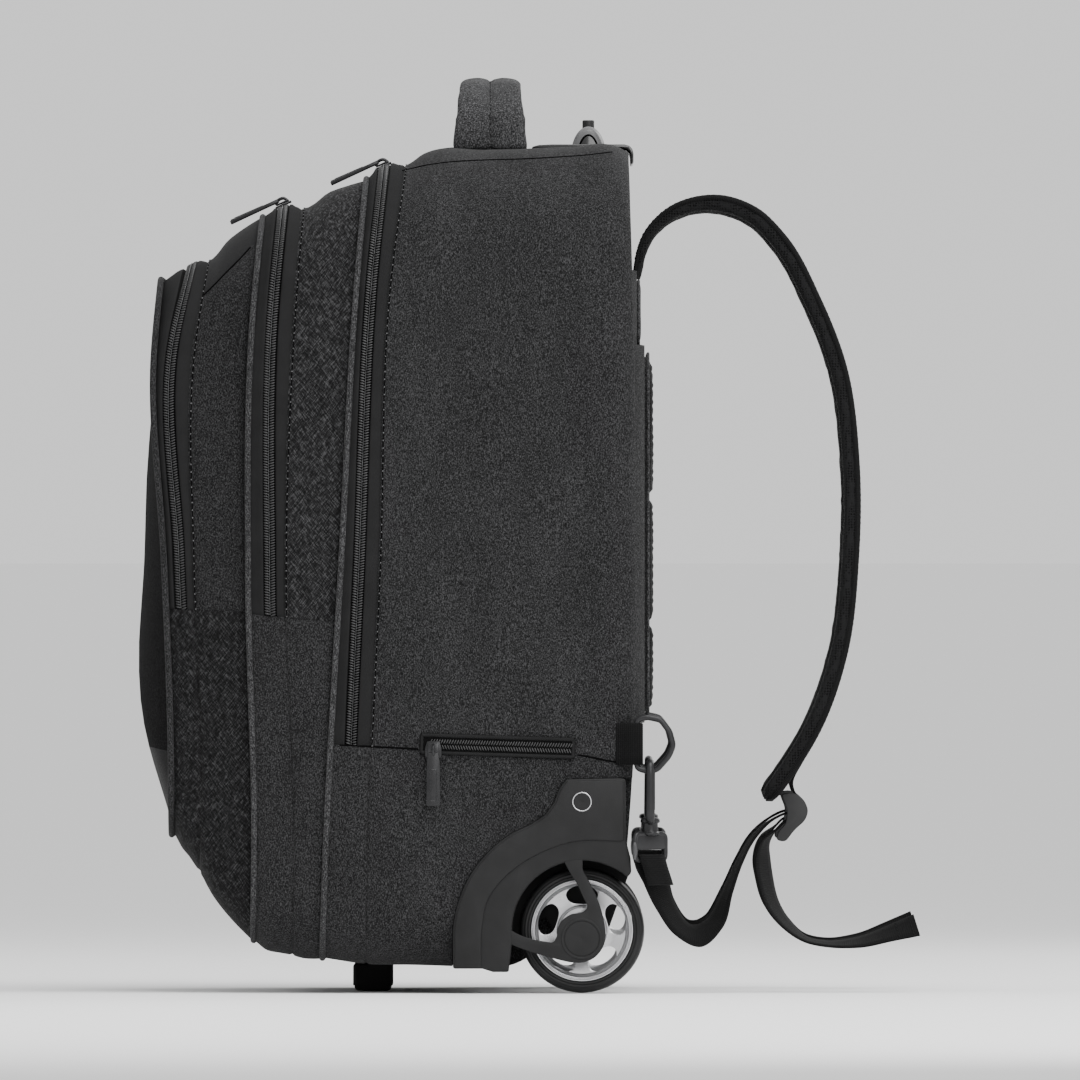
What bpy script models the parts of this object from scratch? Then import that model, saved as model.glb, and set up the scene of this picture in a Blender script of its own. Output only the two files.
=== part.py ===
# Wheeled backpack: a soft bag of three zipped shells on two wheels, with a telescopic handle,
# a carry handle, two shoulder straps and their hooked lower webbings.
# Metres, +Z up. The bag faces -Y, its back faces +Y, and the floor is z = 0.

import math
from collections import namedtuple

import bmesh
import bpy
import numpy as np
from mathutils import Matrix, Vector

# Bag
BODY_HEIGHT = 0.489
BODY_DEPTH = 0.3042
BODY_WIDTH = 0.330
HALF_WIDTH = BODY_WIDTH / 2
GROUND_CLEARANCE = 0.0186
FRONT_Y = -0.2334
BACK_Y = FRONT_Y + BODY_DEPTH
WALL = 0.0016
CLEARANCE = 0.0003

# Piping and zips
PIPING_RADIUS = 0.0015
PIPING_SEAT = PIPING_RADIUS + 0.0007
CORNER_PIPING_OFFSET = PIPING_RADIUS + 0.0004
CHAIN_MARGIN = 0.15
CHAIN_THICKNESS = 0.0012
CHAIN_SINK = 0.0002
FRONT_ZIP_END = 0.438
MIDDLE_ZIP_END = 0.4233
MAIN_ZIP_END = 0.2663

# Back pads
UPPER_PAD_HALF_WIDTH = 0.118
UPPER_PAD_THICKNESS = 0.0035
UPPER_PAD_FOOT = 0.757
UPPER_PAD_TOP = 0.838
LOWER_PAD_HALF_WIDTH = 0.128
LOWER_PAD_THICKNESS = 0.0096
LOWER_PAD_FOOT = 0.302
LOWER_PAD_TOP = 0.7485
PAD_CORNER = 0.024

# Carry handle
HANDLE_SPAN = 0.136
HANDLE_RISE = 0.041
HANDLE_THICKNESS = 0.0085
HANDLE_TOP_WIDTH = 0.0384
HANDLE_FOOT_WIDTH = 0.0462
HANDLE_SECTION = 5

# Telescopic handle
TUBE_SPACING = 0.120
TUBE_INSET = 0.0368
TUBE_Y = BACK_Y - TUBE_INSET
OUTER_TUBE_RADIUS = 0.0095
TUBE_CLEARANCE = 0.0004
TUBE_WALL = 0.0012
TUBE_SIDES = 12
TUBE_FOOT_HEIGHT = 0.0720
TUBE_STEP = 0.0100
BEZEL_HALF_LENGTH = 0.095
BEZEL_THICKNESS = 0.0024
BEZEL_REACH = 0.0342
BEZEL_LIP_DROP = 0.0110
WELL_HALF_LENGTH = 0.084
WELL_HALF_WIDTH = 0.0143
WELL_DEPTH = 0.0230
WELL_WALL = 0.0020
GRIP_HALF_LENGTH = 0.0765
GRIP_WIDTH = 0.0216
GRIP_PROUD = 0.0110
GRIP_LIFT = 0.0045
BUTTON_RADIUS = 0.0036
BUTTON_PROUD = 0.0046
BUTTON_TRAVEL = 0.0040
BUTTON_SEAT = 0.0030

# Wheels
WHEEL_RADIUS = 0.0375
WHEEL_WIDTH = 0.0220
AXLE_INSET = 0.0408
AXLE_Y = BACK_Y - AXLE_INSET
AXLE_RADIUS = 0.0037
RIM_RADIUS = 0.0306
HUB_RADIUS = 0.0090
HUB_INNER_REACH = 0.0135
HUB_OUTER_REACH = 0.0126
WHEEL_SEGMENTS = 24
SPOKES = 5
WINDOW_SIDES = 8

# Wheel housings, and the wheels between their inner walls and their yokes
HOUSING_INSET = 0.0430
HOUSING_INNER = HALF_WIDTH - HOUSING_INSET
HOUSING_BACK = 0.0038
HOUSING_SKIN = 0.0026
HUB_GAP = 0.0067
WHEEL_PLANE = HOUSING_INNER + HOUSING_BACK + HUB_GAP + HUB_INNER_REACH
ARCH_GAP = 0.0045
ARCH_RADIUS = WHEEL_RADIUS + ARCH_GAP
YOKE_GAP = 0.0039
YOKE_THICKNESS = 0.0078
YOKE_RECESS = 0.0007
YOKE_INNER = WHEEL_PLANE + HUB_OUTER_REACH + YOKE_GAP
YOKE_OUTER = YOKE_INNER + YOKE_THICKNESS
HOUSING_OUTER = YOKE_OUTER + YOKE_RECESS
YOKE_HUB_RADIUS = 0.0135
RIVET_RADIUS = 0.0050
RIVET_PROUD = 0.0009

# Foot
FOOT_WIDTH = 0.090
FOOT_LENGTH = 0.0235
FOOT_PLACE = 0.4517
FOOT_TAPER = 0.0030

# Shoulder straps
STRAP_WIDTH = 0.0620
STRAP_THICKNESS = 0.0108
STRAP_ROOT_THICKNESS = 0.0052
STRAP_ROOT_X = 0.0700
STRAP_END_X = 0.1000
STRAP_ROOT_PLACE = 0.8429
STRAP_RISE = 0.0444
STRAP_DROP = 0.3150
STRAP_REACH = 0.1260
STRAP_STEPS = 24

# Webbing, rings, hooks and buckles
WEBBING_WIDTH = 0.0200
WEBBING_THICKNESS = 0.0015
WEBBING_STRIDE = 0.0075
LOOP_WIDTH = 0.0250
LOOP_GAP = 0.0079
LOOP_FRONT = 0.9330
RING_WIRE = 0.0018
RING_HEIGHT = 0.0290
RING_REACH = 0.0216
HOOK_WIRE = 0.0029
HOOK_LENGTH = 0.0320
HOOK_HALF_WIDTH = 0.0078
HOOK_PLACE = 0.0078
LINK_ROUNDING = 0.85
COLLAR_RADIUS = 0.0054
COLLAR_LENGTH = 0.0102
COLLAR_TURN = math.radians(12)
BAIL_WIRE = 0.0016
BAIL_HALF_WIDTH = 0.0122
BAIL_DROP = 0.0150
BAIL_TURN = math.radians(48)
LOCK_BAR = 0.0015
LOCK_CHEEK = 0.0022
LOCK_HEIGHT = 0.0300
WEBBING_DROP = 0.0456
TAIL_REACH = 0.0760
TAIL_DROP = 0.0768

# Side pocket zip and zip pulls
SIDE_ZIP_LENGTH = 0.0930
SIDE_ZIP_HEIGHT = 0.0115
SIDE_ZIP_THICKNESS = 0.0018
SIDE_ZIP_DEPTH = 0.6992
SIDE_ZIP_PLACE = 0.2650
SIDE_ZIP_TILT = math.radians(1.8)
PULL_WIDTH = 0.0060
PULL_LENGTH = 0.0300
PULL_THICKNESS = 0.0016
SLIDER_LENGTH = 0.0080
SLIDER_HEIGHT = 0.0030
PULL_SPACING = 0.0260
PULL_SLOPE = math.radians(25)

# A section across the bag: bottom and top as shares of the body height, width and corner radii as
# shares of the half width, and the depth of the section at five heights as shares of the body depth.
Section = namedtuple("Section", "bottom top width foot_corner top_corner depths")
SECTION_HEIGHTS = (0.0, 0.15, 0.5, 0.85, 1.0)

NOSE = Section(0.158, 0.836, 0.80, 0.16, 0.23, (0.0454, 0.0079, 0.0039, 0.0187, 0.0375))
FRONT_SECTIONS = (
    Section(0.1583, 0.8356, 0.820, 0.17, 0.23, (0.0592, 0.0582, 0.0444, 0.0237, 0.0375)),
    Section(0.1423, 0.8515, 0.835, 0.17, 0.24, (0.0730, 0.0730, 0.0572, 0.0434, 0.0769)),
    Section(0.1276, 0.8601, 0.850, 0.17, 0.25, (0.0927, 0.0966, 0.0828, 0.0690, 0.1045)),
    Section(0.1104, 0.8613, 0.857, 0.17, 0.25, (0.1105, 0.1144, 0.0966, 0.0947, 0.1243)),
    Section(0.0699, 0.8883, 0.872, 0.17, 0.26, (0.1538, 0.1637, 0.1558, 0.1578, 0.1736)),
    Section(0.0258, 0.9153, 0.880, 0.17, 0.27, (0.2170, 0.2189, 0.2071, 0.2150, 0.2347)),
)
MIDDLE_SECTIONS = (
    Section(0.0258, 0.9153, 0.905, 0.17, 0.28, (0.2170, 0.2189, 0.2071, 0.2150, 0.2347)),
    Section(0.0147, 0.9252, 0.930, 0.17, 0.29, (0.2426, 0.2465, 0.2367, 0.2426, 0.2623)),
    Section(0.0110, 0.9301, 0.940, 0.17, 0.29, (0.2702, 0.2742, 0.2623, 0.2682, 0.2880)),
    Section(0.0086, 0.9270, 0.945, 0.17, 0.29, (0.2939, 0.2959, 0.2781, 0.2939, 0.3116)),
    Section(0.0061, 0.9460, 0.955, 0.17, 0.30, (0.3195, 0.3254, 0.3333, 0.3590, 0.3688)),
    Section(0.0043, 0.9595, 0.955, 0.17, 0.31, (0.3531, 0.3609, 0.3905, 0.4201, 0.4398)),
)
MAIN_SECTIONS = (
    Section(0.0043, 0.9620, 0.970, 0.17, 0.32, (0.3531, 0.3609, 0.3905, 0.4201, 0.4398)),
    Section(0.0012, 0.9742, 0.985, 0.17, 0.33, (0.3846, 0.3905, 0.4132, 0.4379, 0.4615)),
    Section(-0.0012, 0.9798, 0.990, 0.17, 0.33, (0.4122, 0.4162, 0.4389, 0.4635, 0.4872)),
    Section(-0.0025, 0.9785, 0.990, 0.17, 0.33, (0.4398, 0.4418, 0.4645, 0.4852, 0.5148)),
    Section(-0.0031, 0.9920, 0.995, 0.17, 0.34, (0.4951, 0.4970, 0.5148, 0.5306, 0.5542)),
    Section(-0.0037, 0.9975, 1.000, 0.17, 0.34, (0.6647, 0.6746, 0.6844, 0.6844, 0.6844)),
    Section(-0.0025, 0.9982, 1.000, 0.17, 0.34, (0.7199, 0.7250, 0.7300, 0.7300, 0.7300)),
    Section(0.0503, 0.9994, 1.000, 0.17, 0.34, (0.8343, 0.8383, 0.8422, 0.8422, 0.8422)),
    Section(0.0957, 0.9982, 0.985, 0.17, 0.34, (0.9369, 0.9527, 0.9586, 0.9527, 0.9449)),
    Section(0.1055, 0.9939, 0.960, 0.17, 0.33, (0.9507, 0.9665, 0.9724, 0.9645, 0.9576)),
)
BACK_SECTION = MAIN_SECTIONS[-1]

# Steps round a section's lower and upper corners, and the row of its points where a zip ends.
FOOT_STEPS = 2
CROWN_STEPS = 4
SIDE_STEPS = 3  # rows of the side above the zip's lower end
ZIP_ROW = FOOT_STEPS + 3

# How far the front panel's rings lie from its rim, as shares of the way in from the rim,
# and the power that rounds the panel over towards its rim.
CAP_SCALES = (0.95, 0.80, 0.45)
CAP_ROUNDING = 2.5

# The wheel housing's outline about the axle, as shares of the wheel radius, from the arch's
# rear end over the top to the curved front, and from the front foot back to the arch.
HOUSING_TOP = (
    (0.790, 0.926), (0.778, 1.160), (0.704, 1.448), (0.696, 2.408), (0.640, 2.440),
    (-0.256, 2.424), (-0.371, 2.264), (-0.448, 2.056), (-0.582, 1.864), (-0.816, 1.704),
)
HOUSING_FOOT = (
    (-2.064, -0.611), (-1.592, -0.611), (-1.424, -0.664), (-1.168, -0.664), (-1.168, -0.616),
)
FRONT_CURVE = (125.5, 180.0, 1.92, 2.07)
ARCH_ANGLES = (49.5, 187.0)

# Rows of the strap's centre line: reach from the root as shares of the strap's reach,
# height as shares of the way from its free end up to its crest.
StrapRow = namedtuple("StrapRow", "reach height")
STRAP_ROWS = (
    StrapRow(0.000, 0.880), StrapRow(0.012, 0.905), StrapRow(0.045, 0.940), StrapRow(0.160, 0.982),
    StrapRow(0.360, 0.999), StrapRow(0.540, 0.978), StrapRow(0.660, 0.936), StrapRow(0.820, 0.832),
    StrapRow(0.935, 0.724), StrapRow(0.995, 0.564), StrapRow(0.992, 0.404), StrapRow(0.938, 0.244),
    StrapRow(0.830, 0.130), StrapRow(0.700, 0.050), StrapRow(0.600, 0.000),
)

# Rows of the webbing between hook and buckle, then of its free tail. Reach is a share of the span
# from bail to buckle, or of the tail's reach; drop is a share of the slack's or the tail's drop;
# turn is the twist in degrees that shows the webbing's face from the side.
WebRow = namedtuple("WebRow", "reach drop turn")
SLACK_ROWS = (
    WebRow(0.040, 0.260, 48), WebRow(0.110, 0.600, 35), WebRow(0.230, 0.920, 30),
    WebRow(0.350, 1.000, 42), WebRow(0.460, 0.840, 30), WebRow(0.560, 0.400, 14),
    WebRow(0.640, 0.020, 8), WebRow(0.760, -0.340, 5), WebRow(0.890, -0.540, 0),
)
TAIL_ROWS = (
    WebRow(-0.110, 0.095, 0), WebRow(-0.190, 0.180, 12), WebRow(-0.222, 0.350, 27),
    WebRow(-0.198, 0.510, 27), WebRow(-0.145, 0.690, 24), WebRow(-0.030, 0.845, 16),
    WebRow(0.120, 0.962, 8), WebRow(0.310, 1.000, 8), WebRow(0.540, 0.985, 22),
    WebRow(0.770, 0.920, 38), WebRow(1.000, 0.850, 50),
)

OBJECT_NAME = "wheeled_backpack"
SIDES = (("right", 1.0), ("left", -1.0))

for old in list(bpy.data.objects):
    bpy.data.objects.remove(old, do_unlink=True)

parts = bpy.data.collections.new(OBJECT_NAME)
cutters = bpy.data.collections.new(OBJECT_NAME + "_cutters")
bpy.context.scene.collection.children.link(parts)
bpy.context.scene.collection.children.link(cutters)


# Shared tools

def depth_at(share):
    return FRONT_Y + share * BODY_DEPTH


def height_at(share):
    return GROUND_CLEARANCE + share * BODY_HEIGHT


def finish(name, colour, roughness, metallic=0.0):
    material = bpy.data.materials.new(name)
    material.use_nodes = True
    shader = material.node_tree.nodes["Principled BSDF"]
    shader.inputs["Base Color"].default_value = (*colour, 1.0)
    shader.inputs["Roughness"].default_value = roughness
    shader.inputs["Metallic"].default_value = metallic
    return material


def add_part(name, data, look):
    part = bpy.data.objects.new(name, data)
    colour, roughness, metallic = look
    data.materials.append(finish(name + "_finish", colour, roughness, metallic))
    parts.objects.link(part)
    return part


def grid_mesh(name, points, faces):
    data = bpy.data.meshes.new(name)
    data.from_pydata([tuple(point) for point in points], [], faces)
    data.update()
    return data


def mirror_across_x(part):
    mirror = part.modifiers.new("both_halves", "MIRROR")
    mirror.use_axis = (True, False, False)
    mirror.use_mirror_merge = True
    mirror.merge_threshold = 0.00005


def give_wall(part, thickness, offset=-1.0):
    wall = part.modifiers.new("wall", "SOLIDIFY")
    wall.thickness = thickness
    wall.offset = offset
    wall.use_even_offset = True
    wall.use_rim = True


def cut_or_join(part, other, operation):
    boolean = part.modifiers.new(operation.lower(), "BOOLEAN")
    boolean.operation = operation
    boolean.solver = "EXACT"
    boolean.object = other


def hide_cutter(cutter):
    cutter.hide_render = True
    cutter.display_type = "WIRE"
    return cutter


def tool_object(name, data):
    tool = bpy.data.objects.new(name, data)
    cutters.objects.link(tool)
    return hide_cutter(tool)


def box_mesh(name, low, high):
    mesh = bmesh.new()
    bmesh.ops.create_cube(mesh, size=1.0)
    for vertex in mesh.verts:
        for axis in range(3):
            vertex.co[axis] = low[axis] if vertex.co[axis] < 0 else high[axis]
    data = bpy.data.meshes.new(name)
    mesh.to_mesh(data)
    mesh.free()
    return data


def rod_mesh(name, start, end, radius, sides, phase=0.0):
    start = Vector(start)
    end = Vector(end)
    mesh = bmesh.new()
    turn = (end - start).to_track_quat("Z", "Y").to_matrix().to_4x4()
    place = Matrix.Translation((start + end) / 2) @ turn @ Matrix.Rotation(phase, 4, "Z")
    bmesh.ops.create_cone(
        mesh, cap_ends=True, segments=sides, radius1=radius, radius2=radius,
        depth=(end - start).length, matrix=place,
    )
    data = bpy.data.meshes.new(name)
    mesh.to_mesh(data)
    mesh.free()
    return data


def plate_mesh(name, outline, low_x, high_x):
    # A flat outline in the YZ plane, given thickness along X.
    mesh = bmesh.new()
    face = mesh.faces.new([mesh.verts.new((low_x, y, z)) for y, z in outline])
    grown = bmesh.ops.extrude_face_region(mesh, geom=[face])
    moved = [item for item in grown["geom"] if isinstance(item, bmesh.types.BMVert)]
    bmesh.ops.translate(mesh, verts=moved, vec=(high_x - low_x, 0, 0))
    bmesh.ops.recalc_face_normals(mesh, faces=mesh.faces)
    data = bpy.data.meshes.new(name)
    mesh.to_mesh(data)
    mesh.free()
    return data


def wire_mesh(name, points, radius, resolution=1, closed=True):
    # A round wire along its points, as a curve made into a mesh with its caps welded.
    curve = bpy.data.curves.new(name, "CURVE")
    curve.dimensions = "3D"
    curve.bevel_depth = radius
    curve.bevel_resolution = resolution
    curve.use_fill_caps = True
    spline = curve.splines.new("POLY")
    spline.points.add(len(points) - 1)
    for knot, point in zip(spline.points, points):
        knot.co = (*point, 1.0)
    spline.use_cyclic_u = closed
    holder = bpy.data.objects.new(name, curve)
    cutters.objects.link(holder)
    graph = bpy.context.evaluated_depsgraph_get()
    data = bpy.data.meshes.new_from_object(holder.evaluated_get(graph))
    bpy.data.objects.remove(holder)
    mesh = bmesh.new()
    mesh.from_mesh(data)
    bmesh.ops.remove_doubles(mesh, verts=mesh.verts, dist=0.00001)
    bmesh.ops.recalc_face_normals(mesh, faces=mesh.faces)
    mesh.to_mesh(data)
    mesh.free()
    data.materials.clear()
    return data


def smooth_value(where, places, values):
    # A smooth curve through values at rising places, with slopes taken from its neighbours.
    slopes = np.gradient(np.array(values, dtype=float), np.array(places, dtype=float), axis=0)
    where = min(max(where, places[0]), places[-1])
    index = min(int(np.searchsorted(places, where, side="right")) - 1, len(places) - 2)
    span = places[index + 1] - places[index]
    t = (where - places[index]) / span
    first, last = np.array(values[index]), np.array(values[index + 1])
    rise = 2 * t ** 3 - 3 * t ** 2 + 1
    result = rise * first + (1 - rise) * last
    result = result + (t ** 3 - 2 * t ** 2 + t) * span * slopes[index]
    return result + (t ** 3 - t ** 2) * span * slopes[index + 1]


def smooth_path(points, steps):
    # Even steps along a smooth curve through the points; works on rows of any length.
    points = [np.array(point, dtype=float) for point in points]
    lengths = [0.0]
    for first, last in zip(points, points[1:]):
        lengths.append(lengths[-1] + float(np.linalg.norm((last - first)[:3])))
    places = np.linspace(0.0, lengths[-1], steps + 1)
    return [smooth_value(place, lengths, points) for place in places]


def fitted_path(points, stride):
    # Steps of about one stride along a smooth curve that keeps each of its points.
    points = [np.array(point, dtype=float) for point in points]
    lengths = [0.0]
    for first, last in zip(points, points[1:]):
        lengths.append(lengths[-1] + float(np.linalg.norm((last - first)[:3])))
    rows = []
    for low, high in zip(lengths, lengths[1:]):
        steps = max(1, round((high - low) / stride))
        rows += [smooth_value(low + (high - low) * step / steps, lengths, points) for step in range(steps)]
    return rows + [points[-1]]


def tube_of_sections(name, rows):
    # A closed skin over rows of points, each row a loop, with both ends filled.
    count = len(rows[0])
    points = [point for row in rows for point in row]
    faces = []
    for row in range(len(rows) - 1):
        here = row * count
        there = here + count
        for step in range(count):
            after = (step + 1) % count
            faces.append((here + step, here + after, there + after, there + step))
    faces.append(tuple(reversed(range(count))))
    faces.append(tuple(range((len(rows) - 1) * count, len(rows) * count)))
    data = grid_mesh(name, points, faces)
    mesh = bmesh.new()
    mesh.from_mesh(data)
    bmesh.ops.recalc_face_normals(mesh, faces=mesh.faces)
    mesh.to_mesh(data)
    mesh.free()
    return data


def ribbon_mesh(name, rows, thickness):
    # Rows of (centre, across) where across is half the ribbon's width as a vector.
    sections = []
    centres = [Vector(row[:3]) for row in rows]
    for index, row in enumerate(rows):
        before = centres[max(index - 1, 0)]
        after = centres[min(index + 1, len(rows) - 1)]
        across = Vector(row[3:6])
        face = (after - before).cross(across).normalized() * (thickness / 2)
        centre = centres[index]
        sections.append((centre - across - face, centre + across - face,
                         centre + across + face, centre - across + face))
    return tube_of_sections(name, sections)


# Bag shells

def section_depth(section, z):
    low = height_at(section.bottom)
    high = height_at(section.top)
    share = (z - low) / (high - low)
    return depth_at(float(smooth_value(share, SECTION_HEIGHTS, section.depths)))


def half_ring(section, zip_end, shift=0.0):
    # Points from the middle of the bottom round to the middle of the top, with outward directions.
    low = height_at(section.bottom)
    high = height_at(section.top)
    half = section.width * HALF_WIDTH
    foot = section.foot_corner * HALF_WIDTH
    crown = section.top_corner * HALF_WIDTH
    zip_z = height_at(zip_end)
    flat = [(0.0, low, 0.0, -1.0), (half - foot, low, 0.0, -1.0)]
    for step in range(1, FOOT_STEPS + 1):
        angle = math.radians(-90 + 90 * step / FOOT_STEPS)
        flat.append((half - foot + foot * math.cos(angle), low + foot + foot * math.sin(angle),
                     math.cos(angle), math.sin(angle)))
    flat.append((half, (low + foot + zip_z) / 2, 1.0, 0.0))
    for step in range(SIDE_STEPS):
        flat.append((half, zip_z + (high - crown - zip_z) * step / SIDE_STEPS, 1.0, 0.0))
    for step in range(CROWN_STEPS + 1):
        angle = math.radians(90 * step / CROWN_STEPS)
        flat.append((half - crown + crown * math.cos(angle), high - crown + crown * math.sin(angle),
                     math.cos(angle), math.sin(angle)))
    flat.append((0.0, high, 0.0, 1.0))
    ring = []
    for x, z, out_x, out_z in flat:
        point = Vector((x, section_depth(section, z) + shift, z))
        ring.append((point, Vector((out_x, 0.0, out_z))))
    return ring


def shell_part(name, rings, slot, look, front_panel=False, back_panel=False, nose=None):
    # Walls between neighbouring rings, open along the zip's slot, closed by a flat or domed panel.
    count = len(rings[0])
    points = [point for ring in rings for point, outward in ring]
    faces = []
    for row in range(len(rings) - 1):
        for step in range(count - 1):
            if row == slot and step >= ZIP_ROW:
                continue
            here = row * count + step
            faces.append((here, here + count, here + count + 1, here + 1))
    if nose:
        faces += domed_panel(points, rings[0], nose)
    if front_panel:
        faces += flat_panel(points, 0, count, False)
    if back_panel:
        faces += flat_panel(points, (len(rings) - 1) * count, count, True)
    shell = add_part(name, grid_mesh(name, points, faces), look)
    mirror_across_x(shell)
    give_wall(shell, WALL)
    return shell


def flat_panel(points, start, count, faces_back):
    # Quads from each point of the rim straight across to the plane of symmetry.
    faces = []
    middle = {1: start, count - 2: start + count - 1}
    for step in range(2, count - 2):
        rim = points[start + step]
        middle[step] = len(points)
        points.append(Vector((0.0, rim.y, rim.z)))
    for step in range(1, count - 2):
        quad = (start + step, start + step + 1, middle[step + 1], middle[step])
        faces.append(tuple(reversed(quad)) if faces_back else quad)
    return faces


def domed_panel(points, rim, nose):
    count = len(rim)
    middle_z = (rim[0][0].z + rim[-1][0].z) / 2
    faces = []
    outer = 0
    for scale in CAP_SCALES:
        start = len(points)
        for point, outward in rim:
            z = middle_z + (point.z - middle_z) * scale
            x = point.x * scale
            rim_y = section_depth(FRONT_SECTIONS[0], z)
            nose_y = section_depth(nose, z)
            points.append(Vector((x, nose_y + (rim_y - nose_y) * scale ** CAP_ROUNDING, z)))
        for step in range(count - 1):
            faces.append((outer + step, outer + step + 1, start + step + 1, start + step))
        outer = start
    centre = len(points)
    points.append(Vector((0.0, section_depth(nose, middle_z), middle_z)))
    for step in range(count - 1):
        faces.append((outer + step, outer + step + 1, centre))
    return faces


def zip_part(name, first, last, look):
    # The closed chain, in the slot between two rings.
    points = []
    for (ahead, out), (behind, out_again) in zip(first[ZIP_ROW:], last[ZIP_ROW:]):
        for share in (CHAIN_MARGIN, 1 - CHAIN_MARGIN):
            points.append(ahead.lerp(behind, share) - out * CHAIN_SINK)
    points[0] = points[0].lerp(points[2], 0.02)
    points[1] = points[1].lerp(points[3], 0.02)
    faces = [(row, row + 1, row + 3, row + 2) for row in range(0, len(points) - 2, 2)]
    chain = add_part(name, grid_mesh(name, points, faces), look)
    mirror_across_x(chain)
    give_wall(chain, CHAIN_THICKNESS)
    return chain


def piping_part(name, ring, reach, lean, look):
    # A cord round a whole ring, its reach away from it, leaning forward by a share of the outward way.
    half = [point + (outward + Vector((0, -lean, 0))).normalized() * reach for point, outward in ring]
    other = [Vector((-point.x, point.y, point.z)) for point in reversed(half[1:-1])]
    return add_part(name, wire_mesh(name, half + other, PIPING_RADIUS, 0), look)


CLOTH = ((0.032, 0.032, 0.034), 0.9, 0.0)
DARK_CLOTH = ((0.012, 0.012, 0.013), 0.9, 0.0)
CHAIN_LOOK = ((0.010, 0.010, 0.011), 0.6, 0.0)
MESH_LOOK = ((0.008, 0.008, 0.009), 0.95, 0.0)
PLASTIC = ((0.036, 0.036, 0.037), 0.55, 0.0)
GLOSS = ((0.012, 0.012, 0.013), 0.15, 0.0)
RUBBER = ((0.030, 0.030, 0.031), 0.7, 0.0)
SILVER = ((0.60, 0.60, 0.61), 0.30, 1.0)
GUNMETAL = ((0.060, 0.060, 0.062), 0.35, 1.0)
ALUMINIUM = ((0.30, 0.30, 0.31), 0.35, 1.0)
WEB_LOOK = ((0.012, 0.012, 0.012), 0.85, 0.0)


def housing_outline(grow=0.0):
    # The housing seen from the side: its top and front, its foot, and the arch over the wheel.
    axle = Vector((AXLE_Y, WHEEL_RADIUS))
    outline = [axle + Vector(row) * WHEEL_RADIUS for row in HOUSING_TOP]
    start, stop, near, far = FRONT_CURVE
    for step in range(5):
        share = step / 4
        angle = math.radians(start + (stop - start) * share)
        reach = (near + (far - near) * share) * WHEEL_RADIUS
        outline.append(axle + Vector((math.cos(angle), math.sin(angle))) * reach)
    outline += [axle + Vector(row) * WHEEL_RADIUS for row in HOUSING_FOOT]
    return [tuple(point) for point in grow_outline(outline, grow)]


def arch_points(radius, steps=8):
    first, last = (math.radians(angle) for angle in ARCH_ANGLES)
    arc = []
    for step in range(steps + 1):
        angle = last + (first - last) * step / steps
        arc.append((AXLE_Y + radius * math.cos(angle), WHEEL_RADIUS + radius * math.sin(angle)))
    return arc


def grow_outline(outline, distance):
    # Moves every side of a closed outline outwards by a distance; a negative one moves it in.
    outline = [Vector(point) for point in outline]
    if distance == 0:
        return outline
    area = sum(a.x * b.y - b.x * a.y for a, b in zip(outline, outline[1:] + outline[:1]))
    side = 1.0 if area > 0 else -1.0
    grown = []
    for index, point in enumerate(outline):
        into = (point - outline[index - 1]).normalized()
        away = (outline[(index + 1) % len(outline)] - point).normalized()
        first = Vector((into.y, -into.x)) * side
        second = Vector((away.y, -away.x)) * side
        corner = (first + second).normalized()
        grown.append(point + corner * distance / max(corner.dot(first), 0.35))
    return grown


def housing_cutter():
    # The room that the bag leaves for a housing: its top and front, carried down and back past the bag.
    crest = next(index for index, row in enumerate(HOUSING_TOP) if row[1] == max(r[1] for r in HOUSING_TOP))
    outline = [Vector(point) for point in housing_outline()]
    walk = outline[crest:len(outline) - len(HOUSING_FOOT)]
    below = -GROUND_CLEARANCE
    behind = depth_at(1.15)
    room = [Vector((behind, walk[0].y)), *walk, Vector((walk[-1].x, below)), Vector((behind, below))]
    room = [tuple(point) for point in grow_outline(room, CLEARANCE)]
    cutter = tool_object("housing_rooms", plate_mesh(
        "housing_rooms", room, HOUSING_INNER - CLEARANCE, HALF_WIDTH * 1.3))
    mirror_across_x(cutter)
    return cutter


def well_box(grow):
    low_y = TUBE_Y - WELL_HALF_WIDTH - grow
    high_y = TUBE_Y + WELL_HALF_WIDTH + grow
    return low_y, high_y, WELL_HALF_LENGTH + grow


def bag_top():
    return max(height_at(section.top) for section in MAIN_SECTIONS)


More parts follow.
